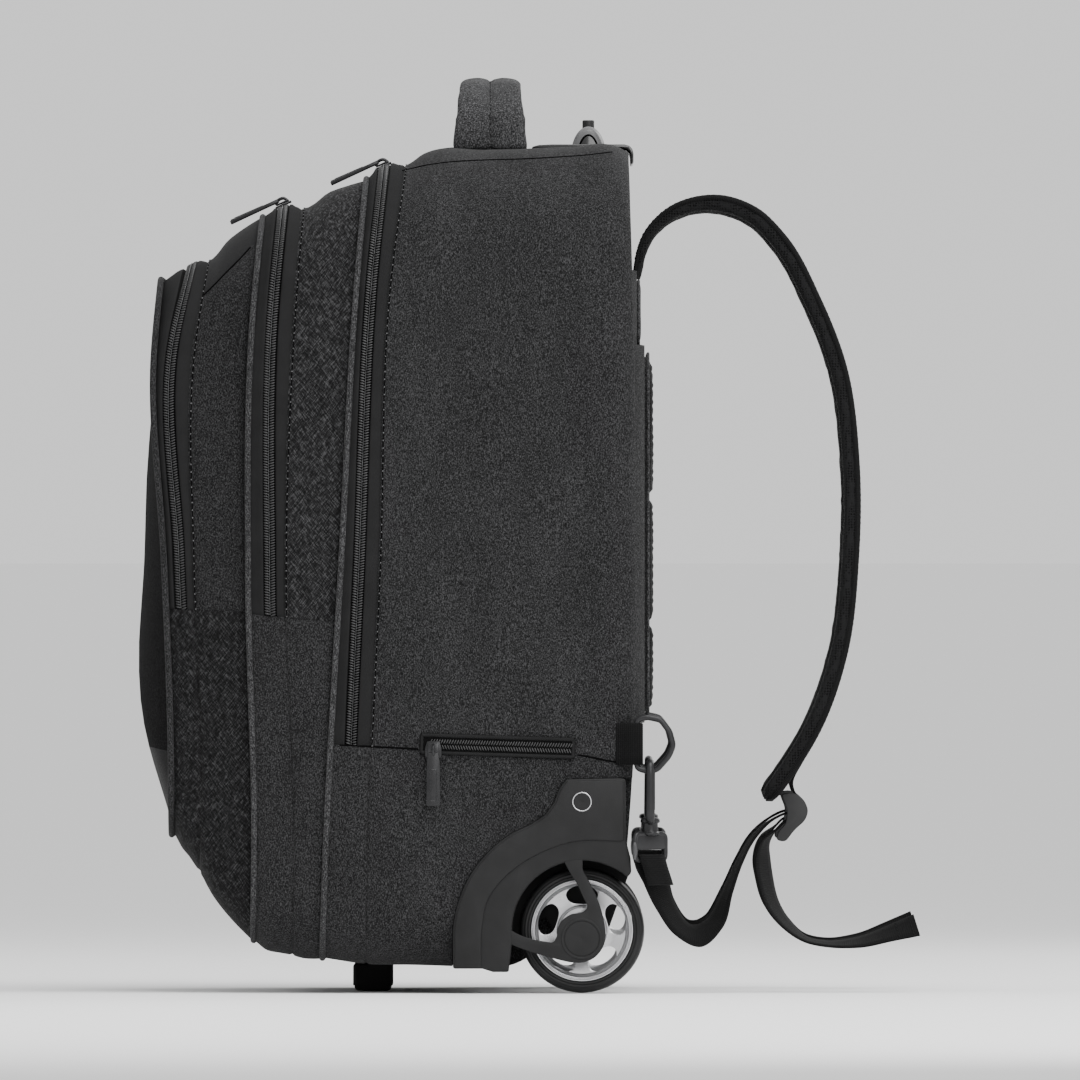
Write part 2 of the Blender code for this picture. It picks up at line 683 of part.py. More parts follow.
def build_bag():
    front = [half_ring(section, FRONT_ZIP_END) for section in FRONT_SECTIONS[:-1]]
    front.append(half_ring(FRONT_SECTIONS[-1], FRONT_ZIP_END, -PIPING_SEAT))
    shell_part("front_pocket", front, 1, CLOTH, nose=NOSE)
    zip_part("front_zip", front[1], front[2], CHAIN_LOOK)

    middle = [half_ring(MIDDLE_SECTIONS[0], MIDDLE_ZIP_END, PIPING_SEAT)]
    middle += [half_ring(section, MIDDLE_ZIP_END) for section in MIDDLE_SECTIONS[1:-1]]
    middle.append(half_ring(MIDDLE_SECTIONS[-1], MIDDLE_ZIP_END, -PIPING_SEAT))
    shell_part("middle_pocket", middle, 1, CLOTH, front_panel=True)
    zip_part("middle_zip", middle[1], middle[2], CHAIN_LOOK)

    main = [half_ring(MAIN_SECTIONS[0], MAIN_ZIP_END, PIPING_SEAT)]
    main += [half_ring(section, MAIN_ZIP_END) for section in MAIN_SECTIONS[1:]]
    bag = shell_part("main_compartment", main, 1, CLOTH, front_panel=True, back_panel=True)
    zip_part("main_zip", main[1], main[2], CHAIN_LOOK)
    cut_or_join(bag, housing_cutter(), "DIFFERENCE")
    low_y, high_y, half_length = well_box(WELL_WALL + CLEARANCE)
    hole = tool_object("well_room", box_mesh(
        "well_room", (-half_length, low_y, bag_top() - WELL_DEPTH), (half_length, high_y, bag_top() + WALL)))
    cut_or_join(bag, hole, "DIFFERENCE")

    piping_part("piping_front", front[0], CORNER_PIPING_OFFSET, 1.0, CLOTH)
    for name, section, zip_end in (("piping_middle", MIDDLE_SECTIONS[0], MIDDLE_ZIP_END),
                                   ("piping_main", MAIN_SECTIONS[0], MAIN_ZIP_END)):
        piping_part(name, half_ring(section, zip_end), 0.0, 0.0, CLOTH)


# Back pads

def back_face(low, high):
    # The rearmost depth of the bag's back wall between two heights.
    depths = [section_depth(BACK_SECTION, low + (high - low) * step / 8) for step in range(9)]
    return max(depths)


def pad_ring(half, low, high, corner, depth):
    ring = []
    corners = ((half - corner, low + corner, -90), (half - corner, high - corner, 0))
    ring.append((0.0, low))
    for centre_x, centre_z, start in corners:
        for step in range(4):
            angle = math.radians(start + 30 * step)
            ring.append((centre_x + corner * math.cos(angle), centre_z + corner * math.sin(angle)))
    ring.append((0.0, high))
    return [Vector((x, depth, z)) for x, z in ring]


def pad_part(name, half, foot, top, thickness, look):
    low = height_at(foot)
    high = height_at(top)
    shrink = thickness * 1.2
    seat = back_face(low, high) + CLEARANCE
    corner = min(PAD_CORNER, (high - low) * 0.42)
    rings = (
        pad_ring(half, low, high, corner, seat),
        pad_ring(half, low, high, corner, seat + thickness * 0.45),
        pad_ring(half - shrink, low + shrink, high - shrink, corner - shrink / 2, seat + thickness),
    )
    count = len(rings[0])
    points = [point for ring in rings for point in ring]
    faces = []
    for row in range(2):
        for step in range(count - 1):
            here = row * count + step
            faces.append((here, here + count, here + count + 1, here + 1))
    faces += flat_panel(points, 0, count, False)
    faces += flat_panel(points, 2 * count, count, True)
    pad = add_part(name, grid_mesh(name, points, faces), look)
    mirror_across_x(pad)
    return pad


# Handles

def build_carry_handle():
    # A padded band that arches along X, seen from the side as two lobes with a groove between.
    lobes = ((-0.50, 0.0), (-0.38, 0.5), (-0.14, 0.5), (0.0, 0.24), (0.14, 0.5), (0.38, 0.5),
             (0.50, 0.0), (0.38, -0.5), (0.0, -0.42), (-0.38, -0.5))
    arch = ((-1.0, 0.0), (-0.99, 0.35), (-0.90, 0.72), (-0.70, 0.93), (-0.40, 1.0), (0.0, 1.0),
            (0.40, 1.0), (0.70, 0.93), (0.90, 0.72), (0.99, 0.35), (1.0, 0.0))
    seat = MAIN_SECTIONS[HANDLE_SECTION]
    middle_y = depth_at(seat.depths[-1])
    base = height_at(seat.top) + CLEARANCE * 3
    reach = HANDLE_SPAN / 2 - HANDLE_THICKNESS / 2
    rise = HANDLE_RISE - HANDLE_THICKNESS / 2 - CLEARANCE
    centres = [Vector((share * reach, middle_y, base + lift * rise)) for share, lift in arch]
    rows = []
    for index, centre in enumerate(centres):
        along = (centres[min(index + 1, 10)] - centres[max(index - 1, 0)]).normalized()
        if index in (0, 10):
            along = Vector((0, 0, 1.0 if index == 0 else -1.0))
        out = along.cross(Vector((0, 1, 0))).normalized() * -HANDLE_THICKNESS
        lift = arch[index][1]
        width = HANDLE_FOOT_WIDTH + (HANDLE_TOP_WIDTH - HANDLE_FOOT_WIDTH) * lift
        rows.append([centre + Vector((0, share * width, 0)) + out * thick for share, thick in lobes])
    add_part("carry_handle", tube_of_sections("carry_handle", rows), CLOTH)


def plate_base():
    return bag_top() + CLEARANCE


def build_bezel():
    # A thin glossy plate on the bag's top with a lip over its back edge, and the well below it.
    low_z = plate_base()
    front = TUBE_Y - BEZEL_REACH
    lip = section_depth(BACK_SECTION, height_at(BACK_SECTION.top)) + CLEARANCE * 4
    round_off = BEZEL_THICKNESS * 2
    middle = BEZEL_THICKNESS / 2
    line = [(front, low_z + middle), (lip + middle - round_off, low_z + middle)]
    for angle in (30, 60, 90):
        turn = math.radians(angle)
        line.append((lip + middle - round_off + round_off * math.sin(turn),
                     low_z + middle - round_off + round_off * math.cos(turn)))
    line.append((lip + middle, low_z + middle - BEZEL_LIP_DROP))
    points = []
    for y, z in line:
        points.append(Vector((-BEZEL_HALF_LENGTH, y, z)))
        points.append(Vector((BEZEL_HALF_LENGTH, y, z)))
    faces = [(row, row + 1, row + 3, row + 2) for row in range(0, len(points) - 2, 2)]
    bezel = add_part("handle_bezel", grid_mesh("handle_bezel", points, faces), GLOSS)
    give_wall(bezel, BEZEL_THICKNESS, 0.0)
    low_y, high_y, half_length = well_box(WELL_WALL)
    floor = low_z - WELL_DEPTH
    cup = tool_object("well_block", box_mesh(
        "well_block", (-half_length, low_y, floor), (half_length, high_y, low_z + middle)))
    cut_or_join(bezel, cup, "UNION")
    low_y, high_y, half_length = well_box(0.0)
    hollow = tool_object("well_hollow", box_mesh(
        "well_hollow", (-half_length, low_y, floor + WELL_WALL),
        (half_length, high_y, low_z + BEZEL_THICKNESS * 2)))
    cut_or_join(bezel, hollow, "DIFFERENCE")
    for side_name, side in SIDES:
        x = side * TUBE_SPACING / 2
        hole = tool_object("tube_hole_" + side_name, rod_mesh(
            "tube_hole", (x, TUBE_Y, floor - WELL_WALL), (x, TUBE_Y, floor + WELL_WALL * 2),
            OUTER_TUBE_RADIUS - TUBE_WALL, TUBE_SIDES))
        cut_or_join(bezel, hole, "DIFFERENCE")
    return floor


def pipe_part(name, x, low, high, radius, wall, look):
    # A turned wall open at both ends.
    profile = ((radius, high), (radius, low), (radius - wall, low), (radius - wall, high))
    points = [Vector((r, 0.0, z)) for r, z in profile]
    data = bpy.data.meshes.new(name)
    edges = [(0, 1), (1, 2), (2, 3), (3, 0)]
    data.from_pydata([tuple(point) for point in points], edges, [])
    tube = add_part(name, data, look)
    tube.location = (x, TUBE_Y, 0.0)
    turn = tube.modifiers.new("turn", "SCREW")
    turn.steps = TUBE_SIDES
    turn.render_steps = TUBE_SIDES
    turn.use_merge_vertices = True
    turn.merge_threshold = 0.00005
    return tube


def grip_section(width, low, high):
    # Flat underneath, upright sides, round on top.
    half = width / 2
    shoulder = low + (high - low) * 0.45
    section = [(-half * 0.8, low), (half * 0.8, low), (half, low + (shoulder - low) * 0.4)]
    for step in range(7):
        angle = math.radians(180 * step / 6)
        section.append((half * math.cos(angle), shoulder + (high - shoulder) * math.sin(angle)))
    section.append((-half, low + (shoulder - low) * 0.4))
    return section


def build_trolley(well_floor):
    tube_top = well_floor - CLEARANCE
    middle_radius = OUTER_TUBE_RADIUS - TUBE_WALL - TUBE_CLEARANCE
    inner_radius = middle_radius - TUBE_WALL - TUBE_CLEARANCE
    grip_low = well_floor + WELL_WALL + GRIP_LIFT
    grip_high = plate_base() + BEZEL_THICKNESS + GRIP_PROUD
    for side_name, side in SIDES:
        x = side * TUBE_SPACING / 2
        pipe_part("outer_tube_" + side_name, x, TUBE_FOOT_HEIGHT, tube_top,
                  OUTER_TUBE_RADIUS, TUBE_WALL, ALUMINIUM)
        pipe_part("mid_tube_" + side_name, x, TUBE_FOOT_HEIGHT + TUBE_STEP,
                  well_floor + WELL_WALL + GRIP_LIFT * 0.6, middle_radius, TUBE_WALL, ALUMINIUM)
        inner = add_part("inner_tube_" + side_name, rod_mesh(
            "inner_tube_" + side_name, (x, TUBE_Y, TUBE_FOOT_HEIGHT + 2 * TUBE_STEP),
            (x, TUBE_Y, grip_low - CLEARANCE), inner_radius, TUBE_SIDES), ALUMINIUM)
        inner.data.name = inner.name
    rows = []
    ends = ((-1.0, 0.62), (-0.975, 0.84), (-0.92, 1.0), (0.92, 1.0), (0.975, 0.84), (1.0, 0.62))
    for share, shrink in ends:
        high = grip_low + (grip_high - grip_low) * (0.5 + shrink / 2)
        rows.append([Vector((share * GRIP_HALF_LENGTH, TUBE_Y + y, z))
                     for y, z in grip_section(GRIP_WIDTH * (0.4 + 0.6 * shrink), grip_low, high)])
    grip = add_part("handle_grip", tube_of_sections("handle_grip", rows), GLOSS)
    button_low = grip_high - BUTTON_SEAT
    button_floor = button_low - BUTTON_TRAVEL
    socket = tool_object("button_socket", rod_mesh(
        "button_socket", (0, TUBE_Y, button_floor - 2 * CLEARANCE), (0, TUBE_Y, grip_high + BUTTON_PROUD),
        BUTTON_RADIUS + CLEARANCE, 16))
    cut_or_join(grip, socket, "DIFFERENCE")
    button = add_part("release_button", rod_mesh(
        "release_button", (0, 0, 0), (0, 0, grip_high + BUTTON_PROUD - button_low),
        BUTTON_RADIUS, 16), RUBBER)
    button.location = (0, TUBE_Y, button_low)


# Wheels and housings

def turned_part(name, profile, x, look):
    # A closed profile of (along the axle, radius), turned about the wheel's axle.
    data = bpy.data.meshes.new(name)
    edges = [(index, (index + 1) % len(profile)) for index in range(len(profile))]
    data.from_pydata([(along, 0.0, -radius) for along, radius in profile], edges, [])
    wheel = add_part(name, data, look)
    wheel.location = (x, AXLE_Y, WHEEL_RADIUS)
    turn = wheel.modifiers.new("turn", "SCREW")
    turn.axis = "X"
    turn.steps = WHEEL_SEGMENTS
    turn.render_steps = WHEEL_SEGMENTS
    turn.use_merge_vertices = True
    turn.merge_threshold = 0.00005
    turn.use_normal_calculate = True
    return wheel


def window_outline(angle):
    # An oval window between two spokes, wider towards the rim.
    radial = Vector((math.cos(angle), math.sin(angle)))
    across = Vector((-radial.y, radial.x))
    middle = radial * RIM_RADIUS * 0.62
    outline = []
    for step in range(WINDOW_SIDES):
        turn = math.tau * step / WINDOW_SIDES
        widening = 1.0 + 0.35 * math.cos(turn)
        outline.append(middle + radial * RIM_RADIUS * 0.205 * math.cos(turn)
                       + across * RIM_RADIUS * 0.205 * widening * math.sin(turn))
    return outline


def build_wheel(side_name, side):
    half = WHEEL_WIDTH / 2
    x = side * WHEEL_PLANE
    inner = RIM_RADIUS + CLEARANCE
    shoulder = RIM_RADIUS + (WHEEL_RADIUS - RIM_RADIUS) * 0.55
    tyre = [(-half, inner), (-half, shoulder), (-half * 0.72, WHEEL_RADIUS), (half * 0.72, WHEEL_RADIUS),
            (half, shoulder), (half, inner)]
    turned_part("tyre_" + side_name, tyre, x, RUBBER)
    bore = AXLE_RADIUS + CLEARANCE
    web = half * 0.35
    rim = [(-HUB_INNER_REACH, bore), (HUB_OUTER_REACH, bore), (HUB_OUTER_REACH, HUB_RADIUS),
           (web + 0.0030, HUB_RADIUS * 1.25), (web + 0.0038, RIM_RADIUS * 0.80),
           (half - 0.0006, RIM_RADIUS * 0.89), (half - 0.0003, RIM_RADIUS), (-half + 0.0003, RIM_RADIUS),
           (-half + 0.0003, RIM_RADIUS * 0.91), (web, RIM_RADIUS * 0.86), (web, HUB_RADIUS * 1.1),
           (-HUB_INNER_REACH, HUB_RADIUS)]
    if side < 0:
        rim = [(-along, radius) for along, radius in reversed(rim)]
    wheel = turned_part("rim_" + side_name, rim, x, SILVER)
    for spoke in range(SPOKES):
        angle = math.tau * spoke / SPOKES + math.radians(126)
        outline = [(AXLE_Y + p.x, WHEEL_RADIUS + p.y) for p in window_outline(angle)]
        ends = sorted((side * (WHEEL_PLANE + web - 0.003), side * (WHEEL_PLANE + half + 0.002)))
        window = tool_object(f"window_{side_name}_{spoke}", plate_mesh("window", outline, *ends))
        cut_or_join(wheel, window, "DIFFERENCE")


def strut_outline(start, end, start_half, end_half):
    start = Vector(start)
    end = Vector(end)
    along = (end - start).normalized()
    across = Vector((-along.y, along.x))
    return [tuple(start + across * start_half), tuple(start - across * start_half),
            tuple(end - across * end_half), tuple(end + across * end_half)]


def build_housing(side_name, side):
    # A tray open to the bag, an inner wall behind the wheel, and a yoke over it to the axle.
    outline = housing_outline() + arch_points(ARCH_RADIUS)
    far, near = side * HOUSING_INNER, side * HOUSING_OUTER
    data = plate_mesh("wheel_housing_" + side_name, outline, min(far, near), max(far, near))
    housing = add_part("wheel_housing_" + side_name, data, PLASTIC)
    inset = [tuple(point) for point in grow_outline(outline, -HOUSING_SKIN)]
    past, skin = side * (HOUSING_INNER - 0.002), side * (HOUSING_OUTER - HOUSING_SKIN)
    pocket = tool_object("tray_" + side_name, plate_mesh(
        "tray", inset, min(past, skin), max(past, skin)))
    cut_or_join(housing, pocket, "DIFFERENCE")

    wall = arch_points(ARCH_RADIUS + HOUSING_SKIN / 2)
    for angle in (30, -20, -60, -90, -120, -160, -200):
        turn = math.radians(angle)
        reach = YOKE_HUB_RADIUS if -160 <= angle <= 0 else ARCH_RADIUS * 0.55
        wall.append((AXLE_Y + reach * math.cos(turn), WHEEL_RADIUS + reach * math.sin(turn)))
    ends = sorted((side * (HOUSING_INNER + HOUSING_BACK * 0.05), side * (HOUSING_INNER + HOUSING_BACK)))
    cut_or_join(housing, tool_object("back_wall_" + side_name, plate_mesh("back_wall", wall, *ends)), "UNION")

    axle = (AXLE_Y, WHEEL_RADIUS)
    arm = YOKE_HUB_RADIUS * 0.5
    top_root = (AXLE_Y - 0.0055, WHEEL_RADIUS + ARCH_RADIUS + HOUSING_SKIN)
    front_root = (AXLE_Y - ARCH_RADIUS - HOUSING_SKIN, WHEEL_RADIUS + 0.0010)
    ends = sorted((side * YOKE_INNER, side * YOKE_OUTER))
    for label, root in (("top", top_root), ("front", front_root)):
        strut = plate_mesh("strut", strut_outline(root, axle, arm * 0.85, arm * 1.15), *ends)
        cut_or_join(housing, tool_object(f"strut_{label}_{side_name}", strut), "UNION")
    hub = rod_mesh("yoke_hub", (side * (YOKE_INNER - 0.0004), *axle), (side * (YOKE_OUTER + 0.0004), *axle),
                   YOKE_HUB_RADIUS, 24, 0.05)
    cut_or_join(housing, tool_object("yoke_hub_" + side_name, hub), "UNION")
    pin = rod_mesh("axle_pin", (side * (HOUSING_INNER + HOUSING_BACK * 0.4), *axle),
                   (side * (YOKE_INNER + YOKE_THICKNESS * 0.25), *axle), AXLE_RADIUS, 16, 0.1)
    cut_or_join(housing, tool_object("axle_pin_" + side_name, pin), "UNION")

    rivet_at = (AXLE_Y, WHEEL_RADIUS + (HOUSING_TOP[4][1] - 0.38) * WHEEL_RADIUS)
    low = side * (HOUSING_OUTER + CLEARANCE)
    high = side * (HOUSING_OUTER + CLEARANCE + RIVET_PROUD)
    add_part("rivet_" + side_name, rod_mesh(
        "rivet_" + side_name, (low, *rivet_at), (high, *rivet_at), RIVET_RADIUS, 16), SILVER)


def build_foot():
    top = height_at(min(section.bottom for section in MAIN_SECTIONS)) - CLEARANCE
    y = depth_at(FOOT_PLACE)
    mesh = bmesh.new()
    bmesh.ops.create_cube(mesh, size=1.0)
    for vertex in mesh.verts:
        low = vertex.co.z < 0
        taper = FOOT_TAPER if low else 0.0
        vertex.co.x = math.copysign(FOOT_WIDTH / 2 - taper, vertex.co.x)
        vertex.co.y = y + math.copysign(FOOT_LENGTH / 2 - taper, vertex.co.y)
        vertex.co.z = 0.0 if low else top
    data = bpy.data.meshes.new("front_foot")
    mesh.to_mesh(data)
    mesh.free()
    foot = add_part("front_foot", data, RUBBER)
    rounding = foot.modifiers.new("edges", "BEVEL")
    rounding.width = FOOT_TAPER / 2
    rounding.segments = 1


# Straps

def strap_line():
    # Rows of (x, y, z) along the strap's middle, and the thickness at each row.
    root_z = height_at(STRAP_ROOT_PLACE)
    root_y = section_depth(BACK_SECTION, root_z) + CLEARANCE * 2 + STRAP_ROOT_THICKNESS / 2
    low = root_z - STRAP_DROP
    high = root_z + STRAP_RISE
    rows = []
    for row in STRAP_ROWS:
        rows.append((0.0, root_y + row.reach * STRAP_REACH, low + row.height * (high - low)))
    line = smooth_path(rows, STRAP_STEPS)
    for index, point in enumerate(line):
        share = index / STRAP_STEPS
        point[0] = STRAP_ROOT_X + (STRAP_END_X - STRAP_ROOT_X) * share
    return [Vector(point) for point in line]


def strap_thickness(index):
    swell = min(index / 4, 1.0)
    ending = 0.8 if index == STRAP_STEPS else 1.0
    return (STRAP_ROOT_THICKNESS + (STRAP_THICKNESS - STRAP_ROOT_THICKNESS) * swell) * ending


def build_strap(side_name, side, line):
    profile = ((-0.5, 0.2), (-0.45, 0.5), (0.45, 0.5), (0.5, 0.2),
               (0.5, -0.2), (0.45, -0.5), (-0.45, -0.5), (-0.5, -0.2))
    rows = []
    for index, centre in enumerate(line):
        along = (line[min(index + 1, STRAP_STEPS)] - line[max(index - 1, 0)]).normalized()
        out = along.cross(Vector((1, 0, 0))).normalized()
        across = out.cross(along).normalized()
        ending = 1.0 - 0.30 * max(0.0, (index - STRAP_STEPS + 3) / 3)
        width = STRAP_WIDTH * ending
        thick = strap_thickness(index)
        row = [centre + across * share * width + out * depth * thick for share, depth in profile]
        rows.append([Vector((side * point.x, point.y, point.z)) for point in row])
    add_part("shoulder_strap_" + side_name, tube_of_sections("shoulder_strap_" + side_name, rows), DARK_CLOTH)


def loop_middle():
    # The height of the ring's loop, above the wheel housing.
    housing_top = WHEEL_RADIUS * (1 + max(row[1] for row in HOUSING_TOP))
    return housing_top + LOOP_GAP + LOOP_WIDTH / 2


def loop_plane():
    # Where the ring hangs: beside the back corner of the bag, clear of its side.
    y = depth_at(LOOP_FRONT)
    places = [section_depth(section, loop_middle()) for section in MAIN_SECTIONS]
    widths = [section.width * HALF_WIDTH for section in MAIN_SECTIONS]
    surface = float(np.interp(y, places, widths))
    return surface + CLEARANCE + WEBBING_THICKNESS


def ring_bar_y():
    return section_depth(BACK_SECTION, loop_middle()) + RING_WIRE


def build_ring(side_name, side):
    x = loop_plane() + RING_WIRE + CLEARANCE
    bar_y = ring_bar_y()
    middle = loop_middle()
    outline = ((0.0, 0.5), (0.0, -0.5), (0.28, -0.56), (0.55, -0.53), (0.88, -0.25), (1.0, -0.03),
               (0.90, 0.26), (0.66, 0.50), (0.28, 0.56))
    points = [Vector((side * x, bar_y + reach * RING_REACH, middle + rise * RING_HEIGHT))
              for reach, rise in outline]
    add_part("d_ring_" + side_name, wire_mesh("d_ring_" + side_name, points, RING_WIRE), GUNMETAL)

    wrap = RING_WIRE + CLEARANCE + WEBBING_THICKNESS / 2
    front = depth_at(LOOP_FRONT)
    half_gap = WEBBING_THICKNESS / 2 + CLEARANCE / 2
    flat_x = loop_plane() - WEBBING_THICKNESS / 2
    route = [(flat_x, front), (flat_x + (x - wrap - flat_x) * 0.6, bar_y - wrap * 2)]
    for step in range(7):
        angle = math.radians(180 + 30 * step)
        route.append((x + wrap * math.cos(angle), bar_y - wrap * math.sin(angle)))
    route.append((flat_x + 2 * half_gap + (x + wrap - flat_x - 2 * half_gap) * 0.6, bar_y - wrap * 2))
    route.append((flat_x + 2 * half_gap + CLEARANCE, front))
    half = LOOP_WIDTH / 2
    rows = [(side * px, py, middle, 0.0, 0.0, half) for px, py in route]
    name = "d_ring_loop_" + side_name
    add_part(name, ribbon_mesh(name, rows, WEBBING_THICKNESS), WEB_LOOK)
    return x


def rounded_loop(centre, across, half, low, high, steps=2):
    # A rounded rectangle standing in the upright plane along a horizontal direction.
    radius = half * LINK_ROUNDING
    points = []
    corners = ((half - radius, high - radius, 0), (-half + radius, high - radius, 90),
               (-half + radius, low + radius, 180), (half - radius, low + radius, 270))
    for offset, z, start in corners:
        for step in range(steps + 1):
            angle = math.radians(start + 90 * step / steps)
            reach = offset + radius * math.cos(angle)
            points.append(Vector((centre[0], centre[1], z + radius * math.sin(angle))) + across * reach)
    return points


def hook_places():
    ring_low = loop_middle() - 0.56 * RING_HEIGHT
    arch = ring_low + RING_WIRE + CLEARANCE + HOOK_WIRE
    collar_top = arch + HOOK_WIRE - HOOK_LENGTH - COLLAR_LENGTH * 0.4
    collar_low = collar_top - COLLAR_LENGTH
    return arch, collar_top, collar_low, collar_low - BAIL_DROP


def build_hook(side_name, side, x):
    arch, collar_top, collar_low, bar_z = hook_places()
    y = ring_bar_y() + HOOK_PLACE
    name = "snap_hook_" + side_name
    along_x = Vector((1, 0, 0))
    link = rounded_loop((side * x, y), along_x, HOOK_HALF_WIDTH, collar_top - HOOK_WIRE * 0.6, arch)
    hook = add_part(name, wire_mesh(name, link, HOOK_WIRE), GUNMETAL)
    collar = rod_mesh("collar", (side * x, y, collar_low), (side * x, y, collar_top), COLLAR_RADIUS, 12,
                      COLLAR_TURN)
    cut_or_join(hook, tool_object("collar_" + side_name, collar), "UNION")
    across = Vector((math.cos(BAIL_TURN), -math.sin(BAIL_TURN), 0.0))
    across.x *= side
    top = collar_low + BAIL_WIRE * 0.4
    radius = BAIL_WIRE * 1.2
    loop = []
    corners = ((1, top - radius, 0), (-1, top - radius, 90),
               (-1, bar_z + radius, 180), (1, bar_z + radius, 270))
    for offset, z, start in corners:
        for step in range(3):
            angle = math.radians(start + 45 * step)
            reach = offset * (BAIL_HALF_WIDTH - radius) + radius * math.cos(angle)
            loop.append(Vector((side * x, y, z + radius * math.sin(angle))) + across * reach)
    bail = wire_mesh("bail", loop, BAIL_WIRE)
    cut_or_join(hook, tool_object("bail_" + side_name, bail), "UNION")


def lock_places(line):
    # The buckle's three bars, below and behind the strap's free end.
    end = line[-1]
    upper = line[-3]
    along = (end - upper).normalized()
    out = Vector((0.0, -along.z, along.y))
    if out.y < 0:
        out = -out
    top_bar = end + out * (STRAP_THICKNESS / 2 + LOCK_HEIGHT * 0.34) - along * LOCK_HEIGHT * 0.36
    middle_bar = top_bar + Vector((0.0, -0.08, -0.36)) * LOCK_HEIGHT
    lip_bar = middle_bar + Vector((0.0, -0.13, -0.40)) * LOCK_HEIGHT
    return top_bar, middle_bar, lip_bar, out


def build_lock(side_name, side, places):
    top_bar, middle_bar, lip_bar, out = places
    name = "ladder_lock_" + side_name
    inner = WEBBING_WIDTH / 2 + 2 * CLEARANCE
    shape = ((-0.30, 0.52), (0.08, 0.58), (0.42, 0.36), (0.56, 0.0), (0.46, -0.30), (0.10, -0.62),
             (-0.16, -0.98), (-0.46, -0.92), (-0.40, -0.66), (-0.16, -0.42), (-0.10, 0.0), (-0.22, 0.30))
    centre = middle_bar + Vector((0.0, 0.0, 0.12)) * LOCK_HEIGHT
    size = LOCK_HEIGHT / 1.56
    outline = [(centre.y + y * size, centre.z + z * size) for y, z in shape]
    middle_x = side * STRAP_END_X
    cheek = plate_mesh(name, outline, middle_x + inner, middle_x + inner + LOCK_CHEEK)
    lock = add_part(name, cheek, PLASTIC)
    other = plate_mesh("cheek", outline, middle_x - inner - LOCK_CHEEK, middle_x - inner)
    reach = inner + LOCK_CHEEK / 2
    for label, bar in (("top", top_bar), ("middle", middle_bar), ("lip", lip_bar)):
        rod = rod_mesh("bar", (middle_x - reach, bar.y, bar.z), (middle_x + reach, bar.y, bar.z), LOCK_BAR, 8)
        cut_or_join(lock, tool_object(f"bar_{label}_{side_name}", rod), "UNION")
    cut_or_join(lock, tool_object("cheek_" + side_name, other), "UNION")


def wrap_rows(centre, radius, across, angles):
    # Rows of a ribbon's centre round a bar; angles are in the plane square to the bar.
    along = Vector(across).normalized()
    level = along.cross(Vector((0, 0, 1))).normalized()
    if level.y < 0:
        level = -level
    rows = []
    for angle in angles:
        turn = math.radians(angle)
        point = Vector(centre) + level * radius * math.cos(turn) + Vector((0, 0, 1)) * radius * math.sin(turn)
        rows.append((*point, *across))
    return rows


def build_webbing(side_name, side, hook_x, places):
    top_bar, middle_bar, lip_bar, out = places
    bar_z = hook_places()[3]
    bail = Vector((hook_x, ring_bar_y() + HOOK_PLACE, bar_z))
    half = WEBBING_WIDTH / 2
    bail_across = Vector((math.cos(BAIL_TURN), -math.sin(BAIL_TURN), 0.0)) * half
    wrap = BAIL_WIRE + CLEARANCE + WEBBING_THICKNESS / 2
    control = [(*(bail + Vector((0.0, 0.0063, -0.0150))), *bail_across)]
    control += wrap_rows(bail, wrap, bail_across, (0, 45, 90, 135, 180))
    span = middle_bar.y - bail.y
    buckle = Vector((STRAP_END_X, middle_bar.y, middle_bar.z))

    def free_rows(rows, start, reach, drop, first_x, last_x):
        places_on = []
        for index, row in enumerate(rows):
            share = min(1.0, (index + 1) / (len(rows) - 1))
            places_on.append(Vector((first_x + (last_x - first_x) * share,
                                     start.y + row.reach * reach, start.z - row.drop * drop)))
        result = []
        for index, row in enumerate(rows):
            before = places_on[max(index - 1, 0)]
            after = places_on[min(index + 1, len(rows) - 1)]
            heading = (after - before).normalized()
            level = heading.cross(Vector((1, 0, 0))).normalized()
            turn = math.radians(row.turn)
            across = (Vector((1, 0, 0)) * math.cos(turn) + level * math.sin(turn)) * half
            result.append((*places_on[index], *across))
        return result

    control += free_rows(SLACK_ROWS, bail, span, WEBBING_DROP, hook_x, STRAP_END_X)
    lock_wrap = LOCK_BAR + CLEARANCE + WEBBING_THICKNESS / 2
    straight = Vector((half, 0, 0))
    control += wrap_rows(buckle, lock_wrap, straight, (115, 75, 35, -5, -45, -85, -120))
    control += free_rows(TAIL_ROWS, buckle, TAIL_REACH, TAIL_DROP, STRAP_END_X, STRAP_END_X)
    rows = []
    for row in fitted_path(control, WEBBING_STRIDE):
        across = Vector(row[3:6]).normalized() * half
        rows.append((side * row[0], row[1], row[2], side * across.x, across.y, across.z))
    name = "lower_webbing_" + side_name
    add_part(name, ribbon_mesh(name, rows, WEBBING_THICKNESS), WEB_LOOK)


def build_tab(side_name, side, line, places):
    # Webbing from the strap's outer face round the buckle's top bar.
    top_bar, middle_bar, lip_bar, out = places
    half = WEBBING_WIDTH / 2
    lift = out * (STRAP_THICKNESS / 2 + WEBBING_THICKNESS / 2 + CLEARANCE * 2)
    root = line[-3].lerp(line[-2], 0.4) + lift
    leaving = line[-2].lerp(line[-1], 0.1) + lift + out * WEBBING_THICKNESS
    wrap = LOCK_BAR + CLEARANCE + WEBBING_THICKNESS / 2
    across = (half, 0.0, 0.0)
    control = [(*root, *across), (*leaving, *across)]
    control += wrap_rows((STRAP_END_X, top_bar.y, top_bar.z), wrap, across, (75, 30, -15, -60, -105, -140))
    rows = []
    for row in fitted_path(control, WEBBING_STRIDE):
        rows.append((side * STRAP_END_X, row[1], row[2], half, 0.0, 0.0))
    name = "strap_tab_" + side_name
    add_part(name, ribbon_mesh(name, rows, WEBBING_THICKNESS), WEB_LOOK)


# Side pocket zip and zip pulls

